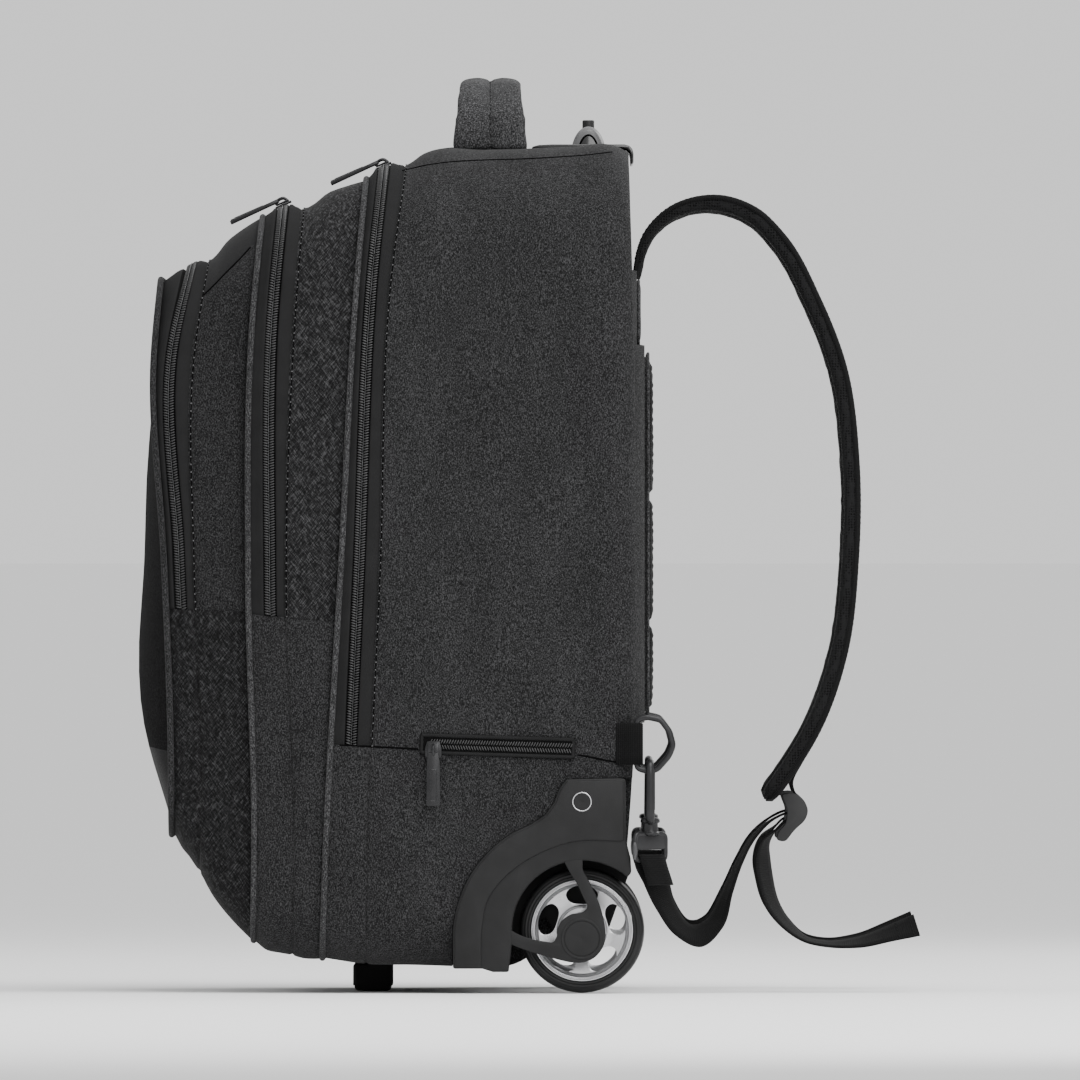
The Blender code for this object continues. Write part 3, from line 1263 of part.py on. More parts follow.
def build_side_zip():
    y = depth_at(SIDE_ZIP_DEPTH)
    z = height_at(SIDE_ZIP_PLACE)
    low_x = HALF_WIDTH + CLEARANCE
    strip = add_part("side_pocket_zip", box_mesh(
        "side_pocket_zip", (0.0, -SIDE_ZIP_LENGTH / 2, -SIDE_ZIP_HEIGHT / 2),
        (SIDE_ZIP_THICKNESS, SIDE_ZIP_LENGTH / 2, SIDE_ZIP_HEIGHT / 2)), CHAIN_LOOK)
    strip.location = (low_x, y, z)
    strip.rotation_euler = (-SIDE_ZIP_TILT, 0.0, 0.0)
    edges = strip.modifiers.new("edges", "BEVEL")
    edges.width = SIDE_ZIP_THICKNESS * 0.35
    edges.segments = 1
    pull_x = low_x + SIDE_ZIP_THICKNESS + CLEARANCE
    pull_y = y - SIDE_ZIP_LENGTH / 2 + SLIDER_LENGTH
    outline = pull_outline()
    points = [(pull_x + height, z - SLIDER_LENGTH / 2 + SIDE_ZIP_HEIGHT / 2 - run) for run, height in outline]
    half = PULL_WIDTH / 2
    rows = [[Vector((px, pull_y + across, pz)) for px, pz in points] for across in (-half, half)]
    add_part("side_zip_pull", tube_of_sections("side_zip_pull", rows), GUNMETAL)


def pull_outline():
    # Seen from its edge: the slider's hump, then the flat tab.
    end = SLIDER_LENGTH + PULL_LENGTH
    return ((0.0, 0.0), (0.0, SLIDER_HEIGHT), (SLIDER_LENGTH, SLIDER_HEIGHT),
            (SLIDER_LENGTH * 1.3, PULL_THICKNESS), (end, PULL_THICKNESS), (end, 0.0))


def top_line(sections, shift=0.0):
    # The tops of sections in the plane of symmetry, as (depth, height).
    return [(section_depth(section, height_at(section.top)), height_at(section.top) + shift)
            for section in sections]


def build_top_pull(name, supports, slot_back, x):
    # Lies from its zip down the slope in front of it, on the highest cloth or piping below it.
    slope = math.tan(PULL_SLOPE)
    base = max(z - y * slope for y, z in supports) + CLEARANCE / math.cos(PULL_SLOPE)
    start_y = section_depth(slot_back, height_at(slot_back.top)) + CLEARANCE
    forward = Vector((0.0, -math.cos(PULL_SLOPE), -math.sin(PULL_SLOPE)))
    up = Vector((0.0, -math.sin(PULL_SLOPE), math.cos(PULL_SLOPE)))
    origin = Vector((x, start_y, base + start_y * slope))
    half = PULL_WIDTH / 2
    rows = []
    for across in (-half, half):
        rows.append([origin + forward * run + up * height + Vector((across, 0, 0))
                     for run, height in pull_outline()])
    add_part(name, tube_of_sections(name, rows), GUNMETAL)


def build_top_pulls(side_name, side):
    x = side * PULL_SPACING / 2
    middle = top_line(FRONT_SECTIONS[3:]) + top_line(MIDDLE_SECTIONS[:3])
    middle += top_line(MIDDLE_SECTIONS[:1], PIPING_RADIUS)
    build_top_pull("middle_pull_" + side_name, middle, MIDDLE_SECTIONS[2], x)
    main = top_line(MIDDLE_SECTIONS[3:]) + top_line(MAIN_SECTIONS[:3])
    main += top_line(MAIN_SECTIONS[:1], PIPING_RADIUS)
    build_top_pull("main_pull_" + side_name, main, MAIN_SECTIONS[2], x)


def build_all():
    build_bag()
    pad_part("back_pad_upper", UPPER_PAD_HALF_WIDTH, UPPER_PAD_FOOT, UPPER_PAD_TOP,
             UPPER_PAD_THICKNESS, MESH_LOOK)
    pad_part("back_pad_lower", LOWER_PAD_HALF_WIDTH, LOWER_PAD_FOOT, LOWER_PAD_TOP,
             LOWER_PAD_THICKNESS, MESH_LOOK)
    build_carry_handle()
    well_floor = build_bezel()
    build_trolley(well_floor)
    build_foot()
    line = strap_line()
    places = lock_places(line)
    for side_name, side in SIDES:
        build_housing(side_name, side)
        build_wheel(side_name, side)
        hook_x = build_ring(side_name, side)
        build_hook(side_name, side, hook_x)
        build_strap(side_name, side, line)
        build_lock(side_name, side, places)
        build_tab(side_name, side, line, places)
        build_webbing(side_name, side, hook_x, places)
        build_top_pulls(side_name, side)
    build_side_zip()


build_all()
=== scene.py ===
# Wheeled backpack: the visible pieces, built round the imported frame.
import math

import bmesh
import bpy
import numpy as np
from mathutils import Matrix, Vector, noise
from mathutils.bvhtree import BVHTree


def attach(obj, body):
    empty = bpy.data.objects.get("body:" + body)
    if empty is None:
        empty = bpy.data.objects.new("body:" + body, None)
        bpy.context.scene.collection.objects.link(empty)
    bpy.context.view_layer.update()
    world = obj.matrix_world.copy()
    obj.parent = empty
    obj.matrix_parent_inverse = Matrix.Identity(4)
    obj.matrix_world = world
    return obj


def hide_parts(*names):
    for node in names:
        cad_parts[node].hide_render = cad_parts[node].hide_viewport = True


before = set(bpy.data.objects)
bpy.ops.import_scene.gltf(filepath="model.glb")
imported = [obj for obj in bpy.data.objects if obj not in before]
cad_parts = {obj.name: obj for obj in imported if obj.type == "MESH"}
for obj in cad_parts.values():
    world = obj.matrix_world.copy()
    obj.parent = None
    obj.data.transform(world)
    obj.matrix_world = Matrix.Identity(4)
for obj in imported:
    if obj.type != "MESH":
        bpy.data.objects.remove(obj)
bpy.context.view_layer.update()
print("frame loaded")

bag = {
    "height": 0.489, "depth": 0.3042, "halfWidth": 0.165, "lift": 0.0186, "frontY": -0.2334,
    "pipingRadius": 0.0019, "gridStep": 0.0032, "slotDepth": 0.0024,
}
wheel = {"radius": 0.0375, "plane": 0.146, "axleY": 0.030, "spokes": 5}
sides = (("right", 1.0), ("left", -1.0))
pixel = 0.0006  # metres to one of the photograph's pixels


def depthAt(share):
    return bag["frontY"] + share * bag["depth"]


def heightAt(share):
    return bag["lift"] + share * bag["height"]


def photoY(px):  # a place in the photograph to metres on the near side panel
    return (px - 532) * pixel


def photoZ(py):
    return (993 - py) * pixel


# mesh tools
def tidyNormals(data):
    work = bmesh.new()
    work.from_mesh(data)
    bmesh.ops.recalc_face_normals(work, faces=work.faces)
    work.to_mesh(data)
    work.free()
    return data


def joined(name, meshes):
    # several closed meshes as one, keeping their material numbers and maps
    work = bmesh.new()
    for data in meshes:
        work.from_mesh(data)
    whole = bpy.data.meshes.new(name)
    work.to_mesh(whole)
    work.free()
    return whole


def mirrored(data):
    copy = data.copy()
    copy.transform(Matrix.Diagonal((-1, 1, 1, 1)))
    copy.flip_normals()
    return copy


def evaluated(data, *changes):
    # applies modifiers, each given as (kind, settings), and returns the plain mesh
    holder = bpy.data.objects.new("holder", data)
    bpy.context.scene.collection.objects.link(holder)
    for kind, settings in changes:
        change = holder.modifiers.new(kind.lower(), kind)
        for key, value in settings.items():
            setattr(change, key, value)
    bpy.context.view_layer.update()
    graph = bpy.context.evaluated_depsgraph_get()
    result = bpy.data.meshes.new_from_object(holder.evaluated_get(graph))
    bpy.data.objects.remove(holder)
    return result


def carved(data, cutter):
    tool = bpy.data.objects.new("tool", cutter)
    bpy.context.scene.collection.objects.link(tool)
    result = evaluated(data, ("BOOLEAN", {"operation": "DIFFERENCE", "solver": "EXACT", "object": tool}))
    bpy.data.objects.remove(tool)
    return result


def rounded(data, width, segments=3, angle=35):
    return evaluated(data, ("BEVEL", {"width": width, "segments": segments, "limit_method": "ANGLE",
                                      "angle_limit": math.radians(angle), "harden_normals": False}))


def addPiece(name, data, finish, body="bag", stands=(), sharp=45):
    # finish is one material or a list of them; stands names the solids that the piece takes the place of
    kinds = np.zeros(len(data.polygons), np.int32)
    data.polygons.foreach_get("material_index", kinds)
    data.materials.clear()
    for entry in finish if isinstance(finish, list) else [finish]:
        data.materials.append(entry)
    data.polygons.foreach_set("material_index", np.minimum(kinds, len(data.materials) - 1))
    piece = bpy.data.objects.new(name, data)
    data.name = name
    bpy.context.scene.collection.objects.link(piece)
    data.shade_smooth()
    data.set_sharp_from_angle(angle=math.radians(sharp))
    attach(piece, body)
    if stands:
        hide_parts(*stands)
    return piece


def curveThrough(places, values):
    # a smooth curve through values at rising places, read at any number of places at once
    places = np.array(places, float)
    values = np.array(values, float)
    slopes = np.gradient(values, places, axis=0)

    def read(where):
        where = np.clip(np.asarray(where, float), places[0], places[-1])
        index = np.clip(np.searchsorted(places, where, side="right") - 1, 0, len(places) - 2)
        span = places[index + 1] - places[index]
        t = (where - places[index]) / span
        if values.ndim > 1:
            t = t[..., None]
            span = span[..., None]
        rise = 2 * t ** 3 - 3 * t ** 2 + 1
        return (rise * values[index] + (1 - rise) * values[index + 1]
                + (t ** 3 - 2 * t ** 2 + t) * span * slopes[index]
                + (t ** 3 - t ** 2) * span * slopes[index + 1])
    return read


def smoothPath(points, stride):
    points = np.array(points, float)
    steps = np.linalg.norm(np.diff(points[:, :3], axis=0), axis=1)
    lengths = np.concatenate([[0.0], np.cumsum(steps)])
    count = max(2, int(round(lengths[-1] / stride)))
    return curveThrough(lengths, points)(np.linspace(0.0, lengths[-1], count + 1))


def evenPath(points, stride, closed=False):
    # even steps along straight runs through many points, with the same columns
    points = np.array(points, float)
    if closed:
        points = np.vstack([points, points[:1]])
    lengths = np.concatenate([[0.0], np.cumsum(np.linalg.norm(np.diff(points[:, :3], axis=0), axis=1))])
    count = max(2, int(round(lengths[-1] / stride)))
    where = np.linspace(0.0, lengths[-1], count + 1)
    if closed:
        where = where[:-1]
    columns = [np.interp(where, lengths, points[:, column]) for column in range(points.shape[1])]
    return np.stack(columns, axis=1)


def unit(vectors):
    return vectors / np.maximum(np.linalg.norm(vectors, axis=-1, keepdims=True), 1e-12)


def tangentsOf(points, closed=False):
    if closed:
        return unit(np.roll(points, -1, axis=0) - np.roll(points, 1, axis=0))
    return unit(np.gradient(points, axis=0))


def loftMesh(name, rows, closed=False, maps=True):
    # rows of closed sections; the map counts metres round the section and along the rows
    rows = np.array(rows, float)
    count, around = rows.shape[:2]
    points = rows.reshape(-1, 3)
    faces = []
    for row in range(count if closed else count - 1):
        here = row * around
        there = ((row + 1) % count) * around
        for step in range(around):
            after = (step + 1) % around
            faces.append((here + step, here + after, there + after, there + step))
    if not closed:
        faces.append(tuple(reversed(range(around))))
        faces.append(tuple(range((count - 1) * around, count * around)))
    data = bpy.data.meshes.new(name)
    data.from_pydata(points.tolist(), [], faces)
    if maps:
        ring = np.concatenate([[0.0], np.cumsum(np.linalg.norm(
            np.diff(np.vstack([rows[count // 2], rows[count // 2][:1]]), axis=0), axis=1))])
        middle = rows.mean(axis=1)
        along = np.concatenate([[0.0], np.cumsum(np.linalg.norm(np.diff(middle, axis=0), axis=1))])
        layer = data.uv_layers.new(name="run")
        values = []
        last = along[-1] + np.linalg.norm(middle[0] - middle[-1]) if closed else along[-1]
        for row in range(count if closed else count - 1):
            below = along[row]
            above = along[row + 1] if row + 1 < count else last
            for step in range(around):
                near, far = ring[step], ring[step + 1]
                values += [near, below, far, below, far, above, near, above]
        if not closed:
            values += [0.0] * (4 * around)
        layer.data.foreach_set("uv", values)
    data.update()
    return tidyNormals(data)


def tubeMesh(name, points, radius, sides, closed=False, guide=(1.0, 0.0, 0.0), flat=1.0):
    # a round or flattened tube; radius may be one number or one for each point
    points = np.array(points, float)
    along = tangentsOf(points, closed)
    radius = np.broadcast_to(np.array(radius, float), (len(points),))
    first = np.array(guide, float)
    rows = []
    for index in range(len(points)):
        first = first - along[index] * np.dot(first, along[index])
        if np.linalg.norm(first) < 1e-6:
            first = np.array((0.0, 0.0, 1.0)) - along[index] * along[index][2]
        first = first / np.linalg.norm(first)
        second = np.cross(along[index], first)
        turn = np.linspace(0, math.tau, sides, endpoint=False)[:, None]
        rows.append(points[index] + radius[index] * (np.cos(turn) * first + flat * np.sin(turn) * second))
    return loftMesh(name, rows, closed)


bandSection = ((-1, -0.4), (-0.97, -1), (-0.5, -1), (0, -1), (0.5, -1), (0.97, -1), (1, -0.4),
               (1, 0.4), (0.97, 1), (0.5, 1), (0, 1), (-0.5, 1), (-0.97, 1), (-1, 0.4))


def ribbonMesh(name, rows, thickness):
    # rows of centre and half width as a vector, made a band with softened edges
    rows = np.array(rows, float)
    centres, across = rows[:, :3], rows[:, 3:6]
    face = unit(np.cross(tangentsOf(centres), across)) * thickness / 2
    outline = [centres + across * share + face * lift for share, lift in bandSection]
    return loftMesh(name, np.stack(outline, axis=1))


def plateMesh(name, outline, low, high):
    # a flat outline of (y, z) given thickness along X
    work = bmesh.new()
    face = work.faces.new([work.verts.new((low, y, z)) for y, z in outline])
    grown = bmesh.ops.extrude_face_region(work, geom=[face])
    moved = [item for item in grown["geom"] if isinstance(item, bmesh.types.BMVert)]
    bmesh.ops.translate(work, verts=moved, vec=(high - low, 0, 0))
    bmesh.ops.recalc_face_normals(work, faces=work.faces)
    data = bpy.data.meshes.new(name)
    work.to_mesh(data)
    work.free()
    return data


def boxMesh(name, low, high):
    work = bmesh.new()
    bmesh.ops.create_cube(work, size=1.0)
    for vertex in work.verts:
        for axis in range(3):
            vertex.co[axis] = low[axis] if vertex.co[axis] < 0 else high[axis]
    data = bpy.data.meshes.new(name)
    work.to_mesh(data)
    work.free()
    return data


def turnedMesh(name, profile, centre, axis, steps):
    # a closed profile of (along the axis, radius) turned into a ring
    x, y, z = centre
    rows = []
    for step in range(steps):
        angle = math.tau * step / steps
        turn = (math.cos(angle), math.sin(angle))
        if axis == "X":
            row = [(x + along, y + radius * turn[0], z + radius * turn[1]) for along, radius in profile]
        else:
            row = [(x + radius * turn[0], y + radius * turn[1], z + along) for along, radius in profile]
        rows.append(row)
    return loftMesh(name, rows, closed=True, maps=False)


def roundProfile(points, radius, steps=3):
    # softens the corners of a closed profile or outline
    points = [Vector(point) for point in points]
    result = []
    for index, corner in enumerate(points):
        before = points[index - 1] - corner
        after = points[(index + 1) % len(points)] - corner
        reach = min(radius, before.length * 0.45, after.length * 0.45)
        start = corner + before.normalized() * reach
        end = corner + after.normalized() * reach
        for step in range(steps + 1):
            t = step / steps
            result.append(tuple(start * (1 - t) ** 2 + corner * 2 * t * (1 - t) + end * t ** 2))
    return result


def noiseAt(points, scale, seed):
    shift = Vector((seed, seed * 1.7, seed * 0.3))
    return np.array([noise.noise(Vector(point) * scale + shift) for point in points])


# materials
def newFinish(name):
    finish = bpy.data.materials.new(name)
    finish.use_nodes = True
    tree = finish.node_tree
    return finish, tree, tree.nodes["Principled BSDF"]


def addNode(tree, kind, inputs=None, **settings):
    node = tree.nodes.new(kind)
    for key, value in settings.items():
        setattr(node, key, value)
    for key, value in (inputs or {}).items():
        socket = node.inputs[key]
        if isinstance(value, bpy.types.NodeSocket):
            tree.links.new(value, socket)
        else:
            socket.default_value = value
    return node


def place(tree, scale, turn=None):
    vector = addNode(tree, "ShaderNodeTexCoord").outputs["Object"]
    if turn:  # turned first, so that the stretch runs along the turned axes
        vector = addNode(tree, "ShaderNodeMapping", {"Vector": vector, "Rotation": turn}).outputs[0]
    return addNode(tree, "ShaderNodeMapping", {"Vector": vector, "Scale": scale}).outputs[0]


def grain(tree, vector, scale, detail, roughness=0.55):
    return addNode(tree, "ShaderNodeTexNoise", {
        "Vector": vector, "Scale": scale, "Detail": detail, "Roughness": roughness}).outputs[0]


def sums(tree, operation, first, second=0.5, third=None):
    inputs = {0: first, 1: second}
    if third is not None:
        inputs[2] = third
    return addNode(tree, "ShaderNodeMath", inputs, operation=operation).outputs[0]


def ramp(tree, factor, stops):
    node = addNode(tree, "ShaderNodeValToRGB", {0: factor})
    while len(node.color_ramp.elements) < len(stops):
        node.color_ramp.elements.new(0.5)
    for element, (position, tone) in zip(node.color_ramp.elements, stops):
        element.position = position
        element.color = (*(tone if isinstance(tone, tuple) else (tone, tone, tone * 1.03)), 1.0)
    return node.outputs[0]


def mixed(tree, factor, first, second):
    node = addNode(tree, "ShaderNodeMix", data_type="RGBA")
    for socket, value in ((0, factor), (6, first), (7, second)):
        if isinstance(value, bpy.types.NodeSocket):
            tree.links.new(value, node.inputs[socket])
        else:
            node.inputs[socket].default_value = value
    return node.outputs[2]


def bumped(tree, shader, height, distance, strength):
    bump = addNode(tree, "ShaderNodeBump", {"Height": height, "Distance": distance, "Strength": strength})
    tree.links.new(bump.outputs[0], shader.inputs["Normal"])


def weaveHeights(tree, fine, long):
    # upright yarns and level yarns as two stretched noises
    upright = grain(tree, place(tree, (fine, fine, long)), 1.0, 2.0, 0.6)
    level = grain(tree, place(tree, (long, long, fine)), 1.0, 2.0, 0.6)
    return upright, level


def zoneMask(tree, lines):
    # 1 where a point is above every line; a line is (y, z, rise per metre of depth, +1 above or -1 below)
    coordinates = addNode(tree, "ShaderNodeTexCoord")
    parts = addNode(tree, "ShaderNodeSeparateXYZ", {0: coordinates.outputs["Object"]})
    mask = None
    for y, z, slope, side in lines:
        level = sums(tree, "MULTIPLY_ADD", parts.outputs[1], -slope, slope * y - z)
        above = sums(tree, "ADD", level, parts.outputs[2])
        if side < 0:
            above = sums(tree, "MULTIPLY", above, -1.0)
        step = sums(tree, "GREATER_THAN", above, 0.0)
        mask = step if mask is None else sums(tree, "MULTIPLY", mask, step)
    return mask


cloth = {"dark": 0.0036, "mid": 0.0130, "light": 0.056, "rough": 0.95, "sheen": 0.03, "specular": 0.12,
         "yarnFine": 2500.0, "yarnLong": 760.0, "slub": (500, 1350, 210), "slubTurn": 38, "glossRough": 0.52,
         "relief": 0.00035}


def heatherColour(tree, tone):
    upright, level = weaveHeights(tree, cloth["yarnFine"], cloth["yarnLong"])
    yarns = sums(tree, "ADD", sums(tree, "MULTIPLY", upright, 0.64), sums(tree, "MULTIPLY", level, 0.36))
    patches = grain(tree, place(tree, (38, 38, 14)), 1.0, 3.0, 0.6)
    shifted = sums(tree, "ADD", yarns, sums(tree, "MULTIPLY", patches, 0.07))
    colour = ramp(tree, shifted, ((0.43, cloth["dark"] * tone), (0.53, cloth["mid"] * tone),
                                  (0.64, cloth["light"] * tone)))
    return colour, yarns


def hatchColour(tree, tone):
    # fine crossed slubs on the slant, as on the lower pocket panels
    turn = math.radians(cloth["slubTurn"])
    first = grain(tree, place(tree, cloth["slub"], (turn, 0, 0)), 1.0, 2.0, 0.6)
    second = grain(tree, place(tree, cloth["slub"], (-turn, 0, 0)), 1.0, 2.0, 0.6)
    fleck = grain(tree, place(tree, (1500, 1500, 1500)), 1.0, 2.0, 0.6)
    both = sums(tree, "ADD", sums(tree, "MULTIPLY", sums(tree, "ADD", first, second), 0.40),
                sums(tree, "MULTIPLY", fleck, 0.20))
    return ramp(tree, both, ((0.42, cloth["dark"] * tone), (0.51, cloth["mid"] * tone),
                             (0.62, cloth["light"] * tone))), both


def clothFinish(name, tone, hatch=None, black=None, gloss=None, hatchTone=1.0, specular=cloth["specular"]):
    # hatch, black and gloss each bound a zone of the panel by lines, as zoneMask reads them
    finish, tree, shader = newFinish(name)
    colour, height = heatherColour(tree, tone)
    if hatch:
        hatched, ridges = hatchColour(tree, hatchTone)
        mask = zoneMask(tree, hatch)
        colour = mixed(tree, mask, colour, hatched)
        flip = sums(tree, "SUBTRACT", 1.0, mask)
        height = sums(tree, "ADD", sums(tree, "MULTIPLY", height, flip), sums(tree, "MULTIPLY", ridges, mask))
    for shade, *lines in black or ():
        plain = grain(tree, place(tree, (1900, 1900, 1500)), 1.0, 2.0, 0.6)
        dark = ramp(tree, plain, ((0.35, shade * 0.5), (0.7, shade * 1.6)))
        colour = mixed(tree, zoneMask(tree, lines), colour, dark)
    tree.links.new(colour, shader.inputs["Base Color"])
    shader.inputs["Roughness"].default_value = cloth["rough"]
    shader.inputs["Specular IOR Level"].default_value = specular
    shader.inputs["Sheen Weight"].default_value = cloth["sheen"] * specular / cloth["specular"]
    shader.inputs["Sheen Roughness"].default_value = 0.5
    if gloss:
        shine = zoneMask(tree, gloss)
        tree.links.new(mixed(tree, shine, colour, (0.004, 0.004, 0.0042, 1)), shader.inputs["Base Color"])
        spread = addNode(tree, "ShaderNodeMapRange", {0: shine, 3: cloth["rough"], 4: cloth["glossRough"]})
        tree.links.new(spread.outputs[0], shader.inputs["Roughness"])
    bumped(tree, shader, height, cloth["relief"], 0.7)
    return finish


def plainFinish(name, tone, rough, metal=0.0, fine=900.0, bump=0.00008, spread=0.25, coat=0.0, wear=0.0,
                specular=0.5, aniso=None):
    # moulded plastic, rubber or metal: slight tone and roughness drift, fine grain in relief
    finish, tree, shader = newFinish(name)
    base = tone if isinstance(tone, tuple) else (tone, tone, tone * 1.02)
    drift = grain(tree, place(tree, (60, 60, 60)), 1.0, 4.0, 0.6)
    low = tuple(channel * (1 - spread) for channel in base)
    high = tuple(min(1.0, channel * (1 + spread)) for channel in base)
    colour = ramp(tree, drift, ((0.3, low), (0.7, high)))
    if wear:
        edge = addNode(tree, "ShaderNodeNewGeometry").outputs["Pointiness"]
        edgeMask = addNode(tree, "ShaderNodeMapRange", {0: edge, 1: 0.52, 2: 0.60}).outputs[0]
        broken = sums(tree, "MULTIPLY", edgeMask, grain(tree, place(tree, (300, 300, 300)), 1.0, 3.0))
        colour = mixed(tree, sums(tree, "MULTIPLY", broken, wear), colour, tuple(
            min(1.0, channel * 2.2) for channel in base) + (1,))
    tree.links.new(colour, shader.inputs["Base Color"])
    surface = grain(tree, place(tree, aniso or (fine, fine, fine)), 1.0, 2.0)
    gloss = addNode(tree, "ShaderNodeMapRange", {
        0: drift, 1: 0.3, 2: 0.7, 3: rough * 0.88, 4: min(1.0, rough * 1.12)})
    tree.links.new(gloss.outputs[0], shader.inputs["Roughness"])
    shader.inputs["Metallic"].default_value = metal
    shader.inputs["Specular IOR Level"].default_value = specular
    shader.inputs["Coat Weight"].default_value = coat
    bumped(tree, shader, surface, bump, 0.6)
    return finish


def webbingFinish(name, tone, pitch=0.0013, across=0.0011, coarse=0.0003):
    # ribs across and ridges along a band, read from its own map
    finish, tree, shader = newFinish(name)
    run = addNode(tree, "ShaderNodeUVMap", uv_map="run").outputs[0]
    parts = addNode(tree, "ShaderNodeSeparateXYZ", {0: run})
    ribs = sums(tree, "SINE", sums(tree, "MULTIPLY", parts.outputs[1], math.tau / pitch))
    lines = sums(tree, "SINE", sums(tree, "MULTIPLY", parts.outputs[0], math.tau / across))
    height = sums(tree, "ADD", sums(tree, "MULTIPLY", ribs, 0.6), sums(tree, "MULTIPLY", lines, 0.4))
    fibre = grain(tree, place(tree, (1800, 1800, 1800)), 1.0, 2.0)
    mixedHeight = sums(tree, "ADD", height, fibre)
    scaled = addNode(tree, "ShaderNodeMapRange", {0: mixedHeight, 1: -0.6, 2: 1.9}).outputs[0]
    tree.links.new(ramp(tree, scaled, ((0.1, tone * 0.35), (0.6, tone), (0.95, tone * 2.1))),
                   shader.inputs["Base Color"])
    shader.inputs["Roughness"].default_value = 0.85
    shader.inputs["Specular IOR Level"].default_value = 0.12
    shader.inputs["Sheen Weight"].default_value = 0.02
    bumped(tree, shader, scaled, coarse, 0.8)
    return finish


def airMeshFinish(name, tone):
    # small round holes in a knitted face
    finish, tree, shader = newFinish(name)
    cells = addNode(tree, "ShaderNodeTexVoronoi", {
        "Vector": place(tree, (1, 1, 1)), "Scale": 620.0, "Randomness": 0.25}).outputs[0]
    knit = grain(tree, place(tree, (1500, 1500, 1500)), 1.0, 2.0)
    depth = addNode(tree, "ShaderNodeMapRange", {0: cells, 1: 0.15, 2: 0.5}).outputs[0]
    height = sums(tree, "ADD", depth, sums(tree, "MULTIPLY", knit, 0.3))
    colour = ramp(tree, height, ((0.2, tone * 0.2), (0.7, tone), (1.0, tone * 1.9)))
    tree.links.new(colour, shader.inputs["Base Color"])
    shader.inputs["Roughness"].default_value = 0.95
    shader.inputs["Specular IOR Level"].default_value = 0.10
    shader.inputs["Sheen Weight"].default_value = 0.02
    bumped(tree, shader, height, 0.0005, 0.8)
    return finish


finishes = {
    # one heather cloth given a tone per piece: lighter on the top handle and the pipings, darker on the front
    # pocket, its hatched zone and its piping; partly the panels' own tone, partly painted light and shade of
    # how the light falls on them
    "main": clothFinish("mainCloth", 0.88),
    "middle": clothFinish("middleCloth", 0.84, hatch=[(photoY(260), photoZ(615), -0.097, 1)], hatchTone=0.95),
    "front": clothFinish("frontCloth", 0.66, hatch=[(photoY(171), photoZ(609), -0.042, -1)], hatchTone=0.68,
                         black=[(0.0125, (photoY(203), photoZ(295), 1.021, 1))]),
    "face": clothFinish("faceCloth", 0.30, gloss=[(photoY(171), photoZ(752), -0.2, -1),
                                                  (photoY(171), photoZ(838), 0.1, 1)], specular=0.03),
    "piping": clothFinish("pipingCloth", 1.6),
    "frontPiping": clothFinish("frontPipingCloth", 0.95),
    "handle": clothFinish("handleCloth", 1.75),
    "band": plainFinish("zipBand", 0.0125, 0.95, fine=1700, bump=0.0002, spread=0.2, specular=0.12),
    "tape": plainFinish("zipTape", 0.004, 0.95, fine=2200, bump=0.0002, specular=0.08),
    "coil": plainFinish("zipCoil", 0.022, 0.34, fine=600, bump=0.00002, specular=0.45),
    # pale beads painted as the glints on the zip coil's middle
    "glint": plainFinish("coilPaintedGlint", 0.07, 0.30, fine=600, bump=0.00002, specular=0.6),
    "thread": plainFinish("stitchThread", 0.10, 0.7, fine=3000, bump=0.00005, specular=0.3),
    "darkThread": plainFinish("darkThread", 0.006, 0.8, fine=3000, bump=0.00005, specular=0.15),
    # near-black finish for the tubes that paint the shade in sunk seams, the crease and stitch grooves
    "seam": plainFinish("seamShadow", 0.0025, 0.95, fine=3000, bump=0.00005, specular=0.03),
    "web": webbingFinish("webbing", 0.0036),
    "binding": webbingFinish("binding", 0.0055, 0.0011, 0.0008, 0.0002),
    "strap": plainFinish("strapCloth", 0.0045, 0.95, fine=1600, bump=0.0003, specular=0.10),
    "airMesh": airMeshFinish("airMesh", 0.0050),
    "housing": plainFinish("housingPlastic", 0.0115, 0.55, fine=1400, bump=0.00010, wear=0.25,
                           specular=0.20),
    "buckle": plainFinish("bucklePlastic", 0.016, 0.50, fine=1400, bump=0.00004, wear=0.3, specular=0.25),
    "gloss": plainFinish("bezelGloss", 0.007, 0.22, fine=300, bump=0.00001, coat=0.15, spread=0.1),
    "gripSkin": plainFinish("gripSkin", 0.085, 0.42, fine=1500, bump=0.00005, specular=0.4),
    "rubber": plainFinish("rubber", 0.010, 0.75, fine=1300, bump=0.00012, specular=0.15),
    "tyre": plainFinish("tyre", 0.011, 0.46, fine=1100, bump=0.00006, specular=0.22),
    "rim": plainFinish("rimSilver", (0.52, 0.52, 0.53), 0.30, metal=0.85, fine=2400, bump=0.00002,
                       spread=0.06),
    # darker finish for the tube that paints the shade of the snap hook's gate groove
    "grooveShade": plainFinish("hookGrooveShade", 0.010, 0.6, specular=0.2),
    "chrome": plainFinish("rivetRing", (0.62, 0.62, 0.63), 0.18, metal=1.0, fine=500, bump=0.00001,
                          spread=0.05),
    "cap": plainFinish("hookCap", (0.050, 0.050, 0.052), 0.45, metal=0.2, fine=900, bump=0.00003,
                       wear=0.3),
    "gunmetal": plainFinish("gunmetal", (0.018, 0.018, 0.019), 0.32, metal=0.4, fine=900, bump=0.00002,
                            wear=0.6, specular=0.35),
    "tube": plainFinish("tubeAluminium", (0.33, 0.33, 0.34), 0.30, metal=1.0, bump=0.00001,
                        aniso=(2600, 2600, 40), spread=0.08),
    "innerPlastic": plainFinish("wellPlastic", 0.010, 0.5, specular=0.3),
}
print("finishes made")


